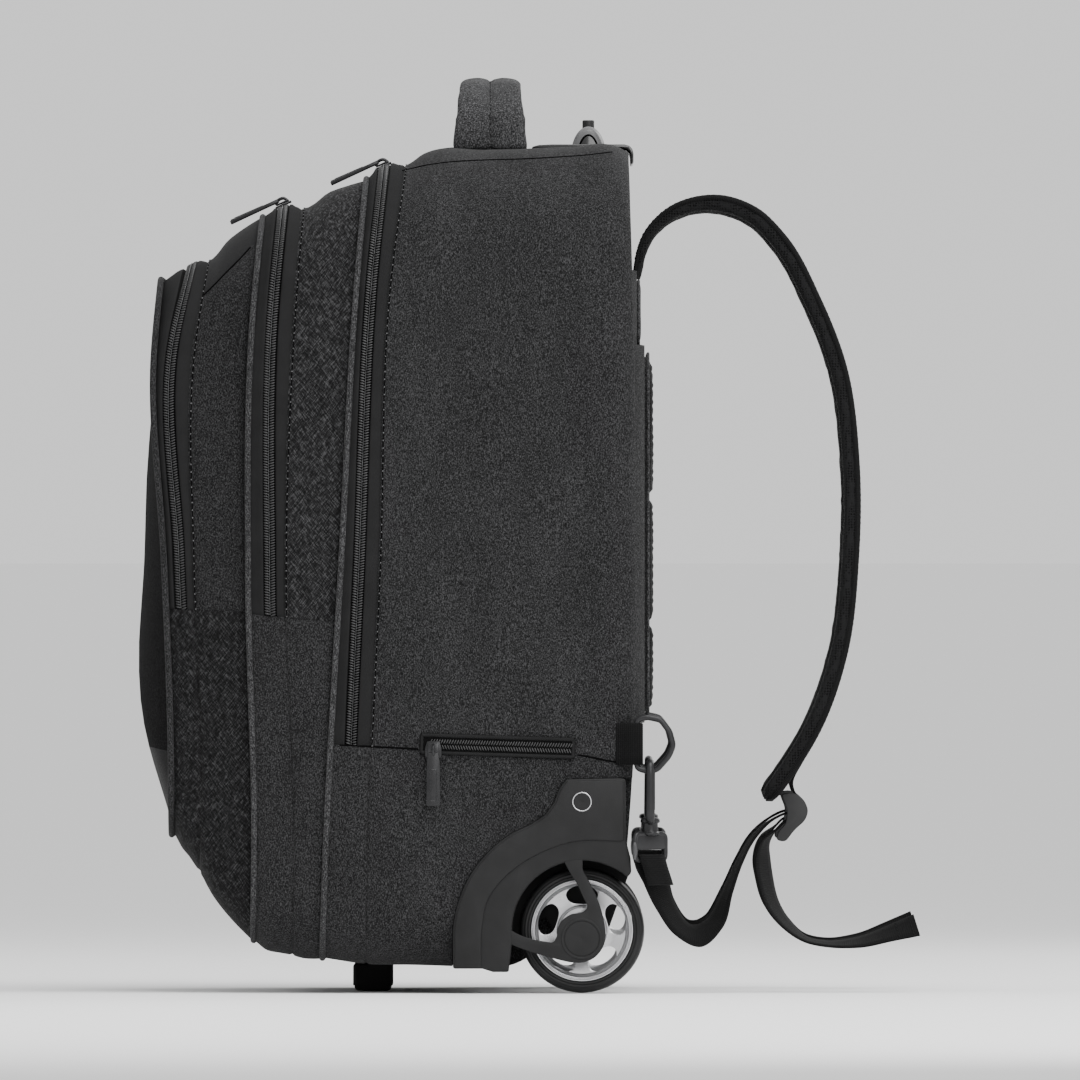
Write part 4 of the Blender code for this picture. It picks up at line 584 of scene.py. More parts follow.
# rows of small repeats
def rowTree(label, finish):
    # one small unit on every point of a line, turned by the line's stored directions
    tree = bpy.data.node_groups.new(label, "GeometryNodeTree")
    tree.interface.new_socket("Geometry", in_out="INPUT", socket_type="NodeSocketGeometry")
    sizes = {}
    for title, value in (("Across", 0.003), ("Along", 0.001), ("Height", 0.001), ("Jitter", 0.0)):
        socket = tree.interface.new_socket(title, in_out="INPUT", socket_type="NodeSocketFloat")
        socket.default_value = value
        sizes[title] = socket.identifier
    seed = tree.interface.new_socket("Seed", in_out="INPUT", socket_type="NodeSocketInt")
    seed.default_value = 7
    tree.interface.new_socket("Geometry", in_out="OUTPUT", socket_type="NodeSocketGeometry")
    entry = tree.nodes.new("NodeGroupInput")
    leave = tree.nodes.new("NodeGroupOutput")
    made = addNode(tree, "GeometryNodeMeshUVSphere", {"Segments": 7, "Rings": 5, "Radius": 0.5})
    size = addNode(tree, "ShaderNodeCombineXYZ", {
        0: entry.outputs["Along"], 1: entry.outputs["Across"], 2: entry.outputs["Height"]})
    outward = addNode(tree, "GeometryNodeInputNamedAttribute", {"Name": "outward"}, data_type="FLOAT_VECTOR")
    along = addNode(tree, "GeometryNodeInputNamedAttribute", {"Name": "along"}, data_type="FLOAT_VECTOR")
    upright = addNode(tree, "FunctionNodeAlignRotationToVector", {"Vector": outward.outputs[0]}, axis="Z")
    turned = addNode(tree, "FunctionNodeAlignRotationToVector", {
        "Rotation": upright.outputs[0], "Vector": along.outputs[0]}, axis="X", pivot_axis="Z")
    spread = addNode(tree, "FunctionNodeRandomValue", {"Seed": entry.outputs["Seed"]}, data_type="FLOAT")
    spread.inputs[2].default_value = 0.85
    spread.inputs[3].default_value = 1.15
    scale = addNode(tree, "ShaderNodeVectorMath", {0: size.outputs[0]}, operation="SCALE")
    blend = addNode(tree, "ShaderNodeMix", {0: entry.outputs["Jitter"], 2: 1.0, 3: spread.outputs[1]},
                    data_type="FLOAT")
    tree.links.new(blend.outputs[0], scale.inputs["Scale"])
    on = addNode(tree, "GeometryNodeInstanceOnPoints", {
        "Points": entry.outputs["Geometry"], "Instance": made.outputs[0], "Rotation": turned.outputs[0],
        "Scale": scale.outputs[0]})
    real = addNode(tree, "GeometryNodeRealizeInstances", {0: on.outputs[0]})
    smooth = addNode(tree, "GeometryNodeSetShadeSmooth", {0: real.outputs[0]})
    paint = addNode(tree, "GeometryNodeSetMaterial", {"Geometry": smooth.outputs[0], "Material": finish})
    tree.links.new(paint.outputs[0], leave.inputs[0])
    return tree, sizes


def repeatRow(name, points, outward, along, finish, across, length, height, jitter=0.0, stands=()):
    # a piece of small beads, one on each point, made by Geometry Nodes and kept as a plain mesh
    points = np.array(points, float)
    data = bpy.data.meshes.new(name)
    data.from_pydata(points.tolist(), [], [])
    for title, vectors in (("outward", outward), ("along", along)):
        layer = data.attributes.new(title, "FLOAT_VECTOR", "POINT")
        layer.data.foreach_set("vector", np.array(vectors, np.float32).ravel())
    holder = bpy.data.objects.new(name + "Line", data)
    bpy.context.scene.collection.objects.link(holder)
    tree, sizes = rowTree(name + "Tree", finish)
    change = holder.modifiers.new("row", "NODES")
    change.node_group = tree
    for title, value in (("Across", across), ("Along", length), ("Height", height), ("Jitter", jitter)):
        change[sizes[title]] = value
    bpy.context.view_layer.update()
    graph = bpy.context.evaluated_depsgraph_get()
    result = bpy.data.meshes.new_from_object(holder.evaluated_get(graph))
    holder.modifiers.remove(change)
    bpy.data.objects.remove(holder)
    addPiece(name, result, finish, stands=stands, sharp=80)


def sweepRow(path, normals, pitch):
    # even points on a path with outward and along directions
    table = evenPath(np.hstack([path, normals]), pitch)
    points, outward = table[:, :3], unit(table[:, 3:6])
    return points, outward, tangentsOf(points)


# bag shells
sectionHeights = (0.0, 0.15, 0.5, 0.85, 1.0)
# bottom, top, width, foot corner, crown corner, then the depth at five heights
noseRow = np.array((0.158, 0.836, 0.80, 0.16, 0.23, 0.0200, -0.0100, -0.0020, 0.0187, 0.0375))
frontSections = (
    (0.1583, 0.8356, 0.820, 0.17, 0.23, 0.0592, 0.0582, 0.0444, 0.0237, 0.0375),
    (0.1423, 0.8515, 0.835, 0.17, 0.24, 0.0730, 0.0730, 0.0572, 0.0434, 0.0769),
    (0.1276, 0.8601, 0.850, 0.17, 0.25, 0.0927, 0.0966, 0.0828, 0.0690, 0.1045),
    (0.1104, 0.8613, 0.857, 0.17, 0.25, 0.1105, 0.1144, 0.0966, 0.0947, 0.1243),
    (0.0699, 0.8883, 0.872, 0.17, 0.26, 0.1538, 0.1637, 0.1558, 0.1578, 0.1736),
    (0.0258, 0.9153, 0.880, 0.17, 0.27, 0.2150, 0.2169, 0.2051, 0.2130, 0.2327),
)
middleSections = (
    (0.0258, 0.9153, 0.905, 0.17, 0.28, 0.2190, 0.2209, 0.2091, 0.2170, 0.2367),
    (0.0147, 0.9252, 0.930, 0.17, 0.29, 0.2426, 0.2465, 0.2367, 0.2426, 0.2623),
    (0.0110, 0.9301, 0.940, 0.17, 0.29, 0.2702, 0.2742, 0.2623, 0.2682, 0.2880),
    (0.0086, 0.9270, 0.945, 0.17, 0.29, 0.2939, 0.2959, 0.2781, 0.2939, 0.3116),
    (0.0061, 0.9460, 0.955, 0.17, 0.30, 0.3195, 0.3254, 0.3333, 0.3590, 0.3688),
    (0.0043, 0.9595, 0.955, 0.17, 0.31, 0.3511, 0.3589, 0.3885, 0.4181, 0.4378),
)
mainSections = (
    (0.0043, 0.9620, 0.970, 0.17, 0.32, 0.3551, 0.3629, 0.3925, 0.4221, 0.4418),
    (0.0012, 0.9742, 0.985, 0.17, 0.33, 0.3846, 0.3905, 0.4132, 0.4379, 0.4615),
    (-0.0012, 0.9798, 0.990, 0.17, 0.33, 0.4122, 0.4162, 0.4389, 0.4635, 0.4872),
    (-0.0025, 0.9785, 0.990, 0.17, 0.33, 0.4398, 0.4418, 0.4645, 0.4852, 0.5148),
    (-0.0031, 0.9920, 0.995, 0.17, 0.34, 0.4951, 0.4970, 0.5148, 0.5306, 0.5542),
    (-0.0037, 0.9975, 1.000, 0.17, 0.34, 0.6647, 0.6746, 0.6844, 0.6844, 0.6844),
    (-0.0025, 0.9982, 1.000, 0.17, 0.34, 0.7199, 0.7250, 0.7300, 0.7300, 0.7300),
    (0.0503, 0.9994, 1.000, 0.17, 0.34, 0.8343, 0.8383, 0.8422, 0.8422, 0.8422),
    (0.0957, 0.9982, 0.985, 0.17, 0.34, 0.9369, 0.9527, 0.9586, 0.9527, 0.9449),
    (0.1055, 0.9939, 0.960, 0.17, 0.33, 0.9507, 0.9665, 0.9724, 0.9645, 0.9576),
)


def sectionDepth(row, z):
    low, high = heightAt(row[0]), heightAt(row[1])
    return depthAt(curveThrough(sectionHeights, row[5:])((np.asarray(z) - low) / (high - low)))


seamNear = (0.0005, 0.0012)  # extra points this far from a seam, so that it can sink sharply


def withNear(count, atStart, length):
    # shares from 0 to 1, even but with extra stops close to the start or else the end
    stops = list(np.linspace(0.0, 1.0, count + 1)[:-1])
    extra = [distance / length for distance in seamNear]
    if atStart:
        return np.array([0.0, *extra, *stops[1:]])
    return np.array([*stops, *[1.0 - share for share in reversed(extra)]])


def ringOf(row, seamZ):
    # half a ring from the bottom's middle to the top's middle: x, z and how far round it is
    low, high = heightAt(row[0]), heightAt(row[1])
    half, foot, crown = (value * bag["halfWidth"] for value in row[2:5])
    x, z = [], []
    for share in np.linspace(0, 1, 30)[:-1]:
        x.append((half - foot) * share)
        z.append(low)
    for angle in np.radians(np.linspace(-90, 0, 9)[:-1]):
        x.append(half - foot + foot * math.cos(angle))
        z.append(low + foot + foot * math.sin(angle))
    lower = seamZ - low - foot
    for share in withNear(34, False, lower):
        x.append(half)
        z.append(low + foot + lower * share)
    seamColumn = len(x)
    upper = high - crown - seamZ
    for share in withNear(78, True, upper):
        x.append(half)
        z.append(seamZ + upper * share)
    for angle in np.radians(np.linspace(0, 90, 17)[:-1]):
        x.append(half - crown + crown * math.cos(angle))
        z.append(high - crown + crown * math.sin(angle))
    for share in np.linspace(0, 1, 32):
        x.append((half - crown) * (1 - share))
        z.append(high)
    return np.array(x), np.array(z), seamColumn


def denseStations(sections, creases):
    # places along the depth, close together at the creases, with the section at each
    table = np.array(sections)
    places = table[:, 7] * bag["depth"]
    stops = []
    for low, high in zip(places, places[1:]):
        count = max(1, round((high - low) / bag["gridStep"]))
        stops += list(np.linspace(low, high, count + 1)[:-1])
    stops.append(places[-1])
    for index in creases:
        for near in seamNear:
            stops += [places[index] - near, places[index] + near]
    stops.append((places[1] + places[2]) / 2)
    stops = np.array(sorted(stops))
    stops = stops[np.concatenate([[True], np.diff(stops) > 0.00025])]
    return stops, curveThrough(places, table)(stops), places


def shellGrid(sections, seamLine):
    # points of a whole shell, row by row from front to back, each row closed round the bag
    stations, rows, places = denseStations(sections, (1, 2, 3))  # the zip's two edges and the band's
    grid = []
    for row in rows:
        x, z, seamColumn = ringOf(row, seamLine(depthAt(row[7])))
        y = sectionDepth(row, z)
        right = np.stack([x, y, z], axis=1)
        left = right[-2:0:-1] * np.array((-1, 1, 1))
        grid.append(np.vstack([right, left]))
    grid = np.array(grid)
    half = len(x)
    aroundStep = np.roll(grid, -1, axis=1) - np.roll(grid, 1, axis=1)
    depthStep = np.gradient(grid, axis=0)
    normals = unit(np.cross(depthStep, aroundStep))
    if np.mean(normals[:, seamColumn + 20, 0]) < 0:
        normals = -normals
    columns = np.arange(grid.shape[1])
    fromSeam = np.where(columns < half, columns - seamColumn, (2 * half - 2 - columns) - seamColumn)
    return {"grid": grid, "normals": normals, "stations": stations, "places": places,
            "fromSeam": fromSeam, "seamColumn": seamColumn, "half": half}


def dressShell(shell, puff, seed):
    # presses the zip's slot in, raises its hems, sinks the seams and lets the cloth swell and crease
    grid, normals = shell["grid"], shell["normals"]
    stations = shell["stations"][:, None]
    places = shell["places"]
    fromSeam = shell["fromSeam"][None, :]
    above = (fromSeam > 0).astype(float)
    slot = ((stations > places[1] + 0.0003) & (stations < places[2] - 0.0003)).astype(float) * above
    lift = -bag["slotDepth"] * slot
    for edge, away in ((places[1], -1), (places[2], 1)):
        gap = (stations - edge) * away
        lift = lift + 0.0007 * np.exp(-((gap - 0.0010) / 0.0009) ** 2) * (gap >= -0.0001) * above
    lift = lift - 0.0009 * np.exp(-((stations - places[3]) / 0.0007) ** 2)
    z = grid[..., 2]
    seamZ = z[:, shell["seamColumn"]][:, None]
    lift = lift - 0.0008 * np.exp(-((z - seamZ) / 0.0009) ** 2) * (np.abs(grid[..., 0]) > 0.05)
    span = np.clip((stations - places[3]) / (places[-1] - places[3]), 0, 1)
    lift = lift + puff * np.sin(np.pi * span) ** 0.8 * (0.65 + 0.35 * np.sin(
        np.pi * np.clip((z - z.min()) / (z.max() - z.min()), 0, 1)))
    flat = grid.reshape(-1, 3)
    slow = noiseAt(flat * np.array((1.0, 1.4, 0.8)), 11.0, seed).reshape(z.shape)
    quick = noiseAt(flat * np.array((1.0, 1.3, 0.7)), 46.0, seed + 3).reshape(z.shape)
    calm = 1 - slot
    lift = lift + (slow * 0.0016 + quick * 0.00035) * calm * np.clip((stations - places[0]) / 0.01, 0.2, 1)
    pucker = np.exp(-((stations - places[3] - 0.004) / 0.004) ** 2)
    ripples = noiseAt(flat * np.array((1.0, 0.25, 1.0)), 130.0, seed + 9).reshape(z.shape)
    lift = lift + ripples * 0.00045 * pucker
    return grid + normals * lift[..., None]


def capRings(rim, scales, depthOf, seed):
    # rings drawn in towards the middle of an end, with the last point in the centre
    middle = (rim[:, 2].min() + rim[:, 2].max()) / 2
    rings = []
    for scale in scales:
        ring = rim.copy()
        ring[:, 0] *= scale
        ring[:, 2] = middle + (rim[:, 2] - middle) * scale
        ring[:, 1] = depthOf(ring[:, 2], scale)
        ring[:, 1] += noiseAt(ring, 14.0, seed) * 0.0016 * (1 - scale)
        rings.append(ring)
    centre = np.array((0.0, float(depthOf(np.array([middle]), 0.0)[0]), middle))
    return rings, centre


def shellMesh(name, grid, frontRings, frontCentre, backRings, backCentre):
    around = grid.shape[1]
    rows = [*reversed(frontRings), *grid, *backRings]
    points = np.vstack([np.vstack(rows), [frontCentre], [backCentre]])
    faces = []
    for row in range(len(rows) - 1):
        here = row * around
        for step in range(around):
            after = (step + 1) % around
            faces.append((here + step, here + after, here + around + after, here + around + step))
    first, last = len(points) - 2, (len(rows) - 1) * around
    for step in range(around):
        after = (step + 1) % around
        faces.append((first, after, step))
        faces.append((len(points) - 1, last + step, last + after))
    data = bpy.data.meshes.new(name)
    data.from_pydata(points.tolist(), [], faces)
    data.update()
    return tidyNormals(data)


def paintSlots(data, shell, frontCount, smoothFront):
    # the slot's floor is the zip's tape, and the strips beside it are plain bands
    tapeIndex, bandIndex, faceIndex = 1, 2, 3
    around = shell["grid"].shape[1]
    places, stations = shell["places"], shell["stations"]
    index = np.zeros(len(data.polygons), np.int32)
    fromSeam = shell["fromSeam"]
    for row in range(len(stations) - 1):
        middle = (stations[row] + stations[row + 1]) / 2
        start = (frontCount + row) * around
        if places[1] - 0.0001 < middle < places[2] + 0.0001:
            kind = tapeIndex
        elif places[2] <= middle < places[3] or places[0] <= middle <= places[1]:
            kind = bandIndex
        else:
            continue
        for step in range(around):
            if fromSeam[step] >= 0 and fromSeam[(step + 1) % around] >= 0:
                index[start + step] = kind
    if smoothFront:
        index[:frontCount * around] = faceIndex
        index[-2 * around::2] = faceIndex
    data.polygons.foreach_set("material_index", index)


def pathOf(shell, dressed, station):
    # the line of one station from the right seam over the top to the left seam, with normals
    row = int(np.argmin(np.abs(shell["stations"] - station)))
    keep = shell["fromSeam"] >= 1
    first = int(np.argmax(keep))
    last = len(keep) - int(np.argmax(keep[::-1]))
    return dressed[row, first:last], shell["normals"][row, first:last]


seamLines = {
    "front": lambda y: photoZ(609) - 0.042 * (y - photoY(171)),
    "middle": lambda y: photoZ(615) - 0.097 * (y - photoY(260)),
    "main": lambda y: photoZ(744) - 0.064 * (y - photoY(335)),
}
zipSizes = {"pitch": 0.0016, "tooth": 0.0038, "width": 0.0012, "height": 0.0016, "split": 0.0018,
            "sink": 0.0007, "lean": 0.30, "tapeSink": 0.0016, "tapeHalf": 0.0037, "tapeThick": 0.0006}


def buildZip(label, shell):
    places = shell["places"]
    middle, normals = pathOf(shell, shell["grid"], (places[1] + places[2]) / 2)
    points, outward, along = sweepRow(middle, unit(normals), zipSizes["pitch"])
    across = unit(np.cross(outward, along))
    sunk = outward * zipSizes["sink"]
    aside = across * zipSizes["split"]
    step = along * zipSizes["pitch"]
    lean = across * zipSizes["lean"]
    both = np.vstack([outward, outward])
    teeth = np.vstack([points - aside - sunk, points + aside + step / 2 - sunk])
    repeatRow("zip_coil_" + label, teeth, both, np.vstack([along + lean, along - lean]), finishes["coil"],
              zipSizes["tooth"], zipSizes["width"], zipSizes["height"], stands=(label + "_zip",))
    # pale beads at the coil's interlocking heads: painted glints on the coil
    glintBeads = np.vstack([points + step * 0.25, points + step * 0.75]) + both * 0.00005
    repeatRow("zip_glints_" + label, glintBeads, both, np.vstack([along, along]), finishes["glint"],
              0.0005, 0.0007, 0.0007, jitter=1.0)
    rows = np.hstack([points - outward * zipSizes["tapeSink"], across * zipSizes["tapeHalf"]])
    addPiece("zip_tape_" + label, ribbonMesh("tape", rows[::2], zipSizes["tapeThick"]), finishes["tape"])


def buildStitches(name, points, normals, finish, pitch, length, across=0.0007, height=0.0007,
                  lift=0.00025, groove=False):
    spots, outward, along = sweepRow(points, normals, pitch)
    repeatRow(name, spots + outward * lift, outward, along, finish, across, length, height, jitter=0.6)
    if groove:  # a dark tube along the stitches, painted shade of the groove that the thread lies in
        line, up, _ = sweepRow(points, normals, 0.003)
        addPiece(name + "_groove", tubeMesh("groove", line - up * 0.0001, 0.00042, 6), finishes["seam"])


def buildPiping(label, row, reach, lean):
    # a cord round one section; reach moves it outwards, and lean turns that towards the front
    x, z, _ = ringOf(row, 0.2)  # it has no seam, so any height does
    right = np.stack([x, sectionDepth(row, z), z], axis=1)
    ring = np.vstack([right, right[-2:0:-1] * np.array((-1, 1, 1))])
    ring = evenPath(ring, 0.0026, closed=True)
    centre = np.array((0.0, 0.0, (ring[:, 2].min() + ring[:, 2].max()) / 2))
    outward = unit(np.cross(tangentsOf(ring, True), np.array((0.0, -1.0, 0.0))))
    if np.mean(np.sum(outward * (ring - centre), axis=1)) < 0:
        outward = -outward
    line = ring + unit(outward + np.array((0.0, -lean, 0.0))) * reach
    name = "piping_" + label
    addPiece(name + "_cord", tubeMesh(name, line, bag["pipingRadius"], 10, True, (0, 1, 0)),
             finishes["frontPiping" if label == "front" else "piping"], stands=(name,))


def housingCutter():
    # what the main shell leaves for the two wheel housings
    outline = grownOutline(housingOutline(), 0.0002)
    crest = max(range(len(housingTop)), key=lambda index: housingTop[index][1])
    walk = outline[crest:len(outline) - len(housingFoot)]
    room = [(0.13, walk[0][1]), *walk, (walk[-1][0], -0.03), (0.13, -0.03)]
    right = plateMesh("room", room, 0.1217, 0.21)
    return joined("rooms", [right, mirrored(right)])


housingTop = (
    (0.790, 0.926), (0.778, 1.160), (0.704, 1.448), (0.696, 2.408), (0.640, 2.440),
    (-0.256, 2.424), (-0.371, 2.264), (-0.448, 2.056), (-0.582, 1.864), (-0.816, 1.704),
)
housingFoot = ((-2.064, -0.611), (-1.592, -0.611), (-1.424, -0.664), (-1.168, -0.664), (-1.168, -0.616))
frontCurve = (125.5, 180.0, 1.92, 2.07)
archAngles = (49.5, 187.0)
archRadius = 0.042


def housingOutline():
    # the housing's side view: its top, the front curve and the foot
    outline = [(wheel["axleY"] + y * wheel["radius"], wheel["radius"] * (1 + z)) for y, z in housingTop]
    start, stop, near, far = frontCurve
    for share in np.linspace(0, 1, 14):
        angle = math.radians(start + (stop - start) * share)
        reach = (near + (far - near) * share) * wheel["radius"]
        outline.append((wheel["axleY"] + math.cos(angle) * reach, wheel["radius"] + math.sin(angle) * reach))
    outline += [(wheel["axleY"] + y * wheel["radius"], wheel["radius"] * (1 + z)) for y, z in housingFoot]
    return outline


def grownOutline(outline, distance):
    # an outline moved outwards by a distance, or inwards where it is below zero
    points = [Vector(point) for point in outline]
    area = sum(a.x * b.y - b.x * a.y for a, b in zip(points, points[1:] + points[:1]))
    side = 1.0 if area > 0 else -1.0
    grown = []
    for index, point in enumerate(points):
        into = (point - points[index - 1]).normalized()
        away = (points[(index + 1) % len(points)] - point).normalized()
        first = Vector((into.y, -into.x)) * side
        second = Vector((away.y, -away.x)) * side
        corner = (first + second).normalized()
        grown.append(tuple(point + corner * distance / max(corner.dot(first), 0.35)))
    return grown


fineScales = (0.985, 0.965, 0.94, 0.91, 0.87, 0.82, 0.76, 0.69, 0.61, 0.52, 0.42, 0.31, 0.19, 0.08)
coarseScales = (0.9, 0.6, 0.3)
noseRoundness = 3.4  # how late the front panel turns back to its rim
cordShift = -0.002  # the cords between two shells lie a little ahead of the second one's edge
shellStyles = {
    "front": {"sections": frontSections, "puff": 0.0016, "seed": 1.0, "node": "front_pocket",
              "frontScales": fineScales, "backScales": coarseScales, "cordReach": 0.0019, "cordLean": 1.0},
    "middle": {"sections": middleSections, "puff": 0.0012, "seed": 2.0, "node": "middle_pocket",
               "frontScales": coarseScales, "backScales": coarseScales, "cordReach": 0.0, "cordLean": 0.0},
    "main": {"sections": mainSections, "puff": 0.0010, "seed": 3.0, "node": "main_compartment",
             "frontScales": coarseScales, "backScales": fineScales, "cordReach": 0.0, "cordLean": 0.0},
}
handleWell = ((-0.0863, 0.0174, 0.4843), (0.0863, 0.0506, 0.53))


def noseDepth(z, scale):
    rimY = sectionDepth(np.array(frontSections[0]), z)
    noseY = sectionDepth(noseRow, z)
    return noseY + (rimY - noseY) * scale ** noseRoundness


def buildShell(label, style):
    shell = shellGrid(style["sections"], seamLines[label])
    dressed = dressShell(shell, style["puff"], style["seed"])
    frontRow, backRow = np.array(style["sections"][0]), np.array(style["sections"][-1])
    isFront = label == "front"
    frontDepth = noseDepth if isFront else lambda z, scale: sectionDepth(frontRow, z)
    front, frontCentre = capRings(dressed[0], style["frontScales"], frontDepth, 5.0)
    back, backCentre = capRings(dressed[-1], style["backScales"], lambda z, scale: sectionDepth(backRow, z),
                                6.0)
    data = shellMesh("cloth_" + label, dressed, front, frontCentre, back, backCentre)
    paintSlots(data, shell, len(front), isFront)
    if label == "main":
        data = carved(carved(data, housingCutter()), boxMesh("well", *handleWell))
    addPiece("cloth_" + label, data, [finishes[label], finishes["tape"], finishes["band"], finishes["face"]],
             stands=(style["node"],), sharp=60)
    buildZip(label, shell)
    points, normals = pathOf(shell, dressed, shell["places"][3] + 0.0014)
    buildStitches("stitches_" + label, points, normals, finishes["thread"], 0.0046, 0.0010, 0.0008, 0.0007,
                  0.0002, groove=True)


def buildBag():
    for label, style in shellStyles.items():
        buildShell(label, style)
    for label, style in shellStyles.items():
        row = np.array(style["sections"][0])
        if label != "front":
            row[5:] += cordShift
        buildPiping(label, row, style["cordReach"], style["cordLean"])
    print("bag shells, zips and pipings made")


# stage, light and camera
view = {"distance": 22.0, "span": 0.648, "aim": (0.165, 0.0048, 0.2718)}  # a long lens, held level
stage = {"half": 400, "low": -0.0004, "tone": 0.93, "far": 900}
lights = {  # place, aim, size and power
    "overhead": ((0.9, 0.5, 2.4), (0.0, 0.0, 0.25), 1.8, 60),
    "camera_side": ((2.6, 0.9, 1.3), (0.165, 0.0, 0.25), 1.4, 34),
    "rear": ((-1.8, 1.6, 1.5), (0.0, 0.1, 0.3), 1.2, 22),
}


def buildStage():
    half, low, tone = stage["half"], stage["low"], stage["tone"]
    floor = bpy.data.meshes.new("floorSheet")
    corners = [(-half, -half, low), (half, -half, low), (half, half, low), (-half, half, low)]
    floor.from_pydata(corners, [], [(0, 1, 2, 3)])
    sheet = bpy.data.objects.new("floorSheet", floor)
    bpy.context.scene.collection.objects.link(sheet)
    finish, _, shader = newFinish("paleFloor")
    shader.inputs["Base Color"].default_value = (tone, tone, tone, 1)
    shader.inputs["Roughness"].default_value = 0.9
    shader.inputs["Specular IOR Level"].default_value = 0.2
    floor.materials.append(finish)
    world = bpy.data.worlds.new("studio")
    world.use_nodes = True
    world.node_tree.nodes["Background"].inputs[0].default_value = (1.0, 1.0, 1.0, 1)
    world.node_tree.nodes["Background"].inputs[1].default_value = 1.0
    bpy.context.scene.world = world
    for name, (spot, aim, size, power) in lights.items():
        lamp = bpy.data.lights.new(name, "AREA")
        lamp.size = size
        lamp.energy = power
        lampObject = bpy.data.objects.new(name, lamp)
        lampObject.location = spot
        lampObject.rotation_euler = (Vector(aim) - Vector(spot)).to_track_quat("-Z", "Y").to_euler()
        bpy.context.scene.collection.objects.link(lampObject)
    camera = bpy.data.cameras.new("camera")
    camera.sensor_width = 36
    camera.lens = 36 * view["distance"] / view["span"]
    camera.clip_end = stage["far"]
    eye = bpy.data.objects.new("camera", camera)
    target = Vector(view["aim"])
    eye.location = target + Vector((view["distance"], 0, 0))
    eye.rotation_euler = (target - eye.location).to_track_quat("-Z", "Y").to_euler()
    bpy.context.scene.collection.objects.link(eye)
    bpy.context.scene.camera = eye


# padded fabric
swellSteps = 20  # frames that the cloth is given to swell


def plumped(data, voxel, pressure, cap, pinned=None):
    # remeshes a pad, lets cloth swell it under pressure and caps how far each point goes
    soft = evaluated(data, ("REMESH", {"mode": "VOXEL", "voxel_size": voxel, "use_smooth_shade": True}))
    piece = bpy.data.objects.new("swelling", soft)
    bpy.context.scene.collection.objects.link(piece)
    start = np.array([vertex.co for vertex in soft.vertices])
    cushion = piece.modifiers.new("swell", "CLOTH")
    cushion.settings.use_pressure = True
    cushion.settings.uniform_pressure_force = pressure
    cushion.settings.effector_weights.gravity = 0.0
    cushion.settings.quality = 4
    cushion.settings.tension_stiffness = 12
    cushion.settings.compression_stiffness = 12
    cushion.settings.bending_stiffness = 0.6
    cushion.point_cache.frame_start = 1
    cushion.point_cache.frame_end = swellSteps
    if pinned is not None:
        group = piece.vertex_groups.new(name="held")
        group.add([int(index) for index in np.nonzero(pinned(start))[0]], 1.0, "REPLACE")
        cushion.settings.vertex_group_mass = "held"
    for step in range(1, swellSteps + 1):
        bpy.context.scene.frame_set(step)
    graph = bpy.context.evaluated_depsgraph_get()
    result = bpy.data.meshes.new_from_object(piece.evaluated_get(graph))
    moved = np.array([vertex.co for vertex in result.vertices])
    shift = moved - start
    far = np.linalg.norm(shift, axis=1, keepdims=True)
    moved = start + shift * np.minimum(1.0, cap / np.maximum(far, 1e-9))
    result.vertices.foreach_set("co", moved.astype(np.float32).ravel())
    result.update()
    bpy.data.objects.remove(piece)
    bpy.context.scene.frame_set(1)
    return result


def reshaped(data, change):
    # moves every point by a rule that takes places and normals
    places = np.array([vertex.co for vertex in data.vertices])
    normals = np.array([vertex.normal for vertex in data.vertices])
    data.vertices.foreach_set("co", change(places, normals).astype(np.float32).ravel())
    data.update()
    return data


def subdivided(data):
    return evaluated(data, ("SUBSURF", {"levels": 1, "render_levels": 1}))


def sortFaces(data, rule):
    # picks a finish for each face from its centre and direction
    centres = np.array([face.center for face in data.polygons])
    normals = np.array([face.normal for face in data.polygons])
    data.polygons.foreach_set("material_index", rule(centres, normals).astype(np.int32))


carryHandle = {"y": -0.0252, "base": 0.5070, "reach": 0.06375, "rise": 0.0386, "foot": 0.0462, "top": 0.0384,
               "thick": 0.0074, "voxel": 0.0022, "pressure": 3.0, "cap": 0.0016,
               "channelHalf": 0.0011, "channelDepth": 0.0012, "tabHalf": 0.0235}
handleArch = ((-1, 0), (-0.99, 0.35), (-0.90, 0.72), (-0.70, 0.93), (-0.40, 1), (0, 1),
              (0.40, 1), (0.70, 0.93), (0.90, 0.72), (0.99, 0.35), (1, 0))
handleLobes = ((-0.50, 0), (-0.47, 0.36), (-0.38, 0.5), (-0.20, 0.5), (-0.06, 0.34), (0, 0.16), (0.06, 0.34),
               (0.20, 0.5), (0.38, 0.5), (0.47, 0.36), (0.50, 0), (0.47, -0.36), (0.38, -0.5), (0.20, -0.5),
               (0, -0.40), (-0.20, -0.5), (-0.38, -0.5), (-0.47, -0.36))


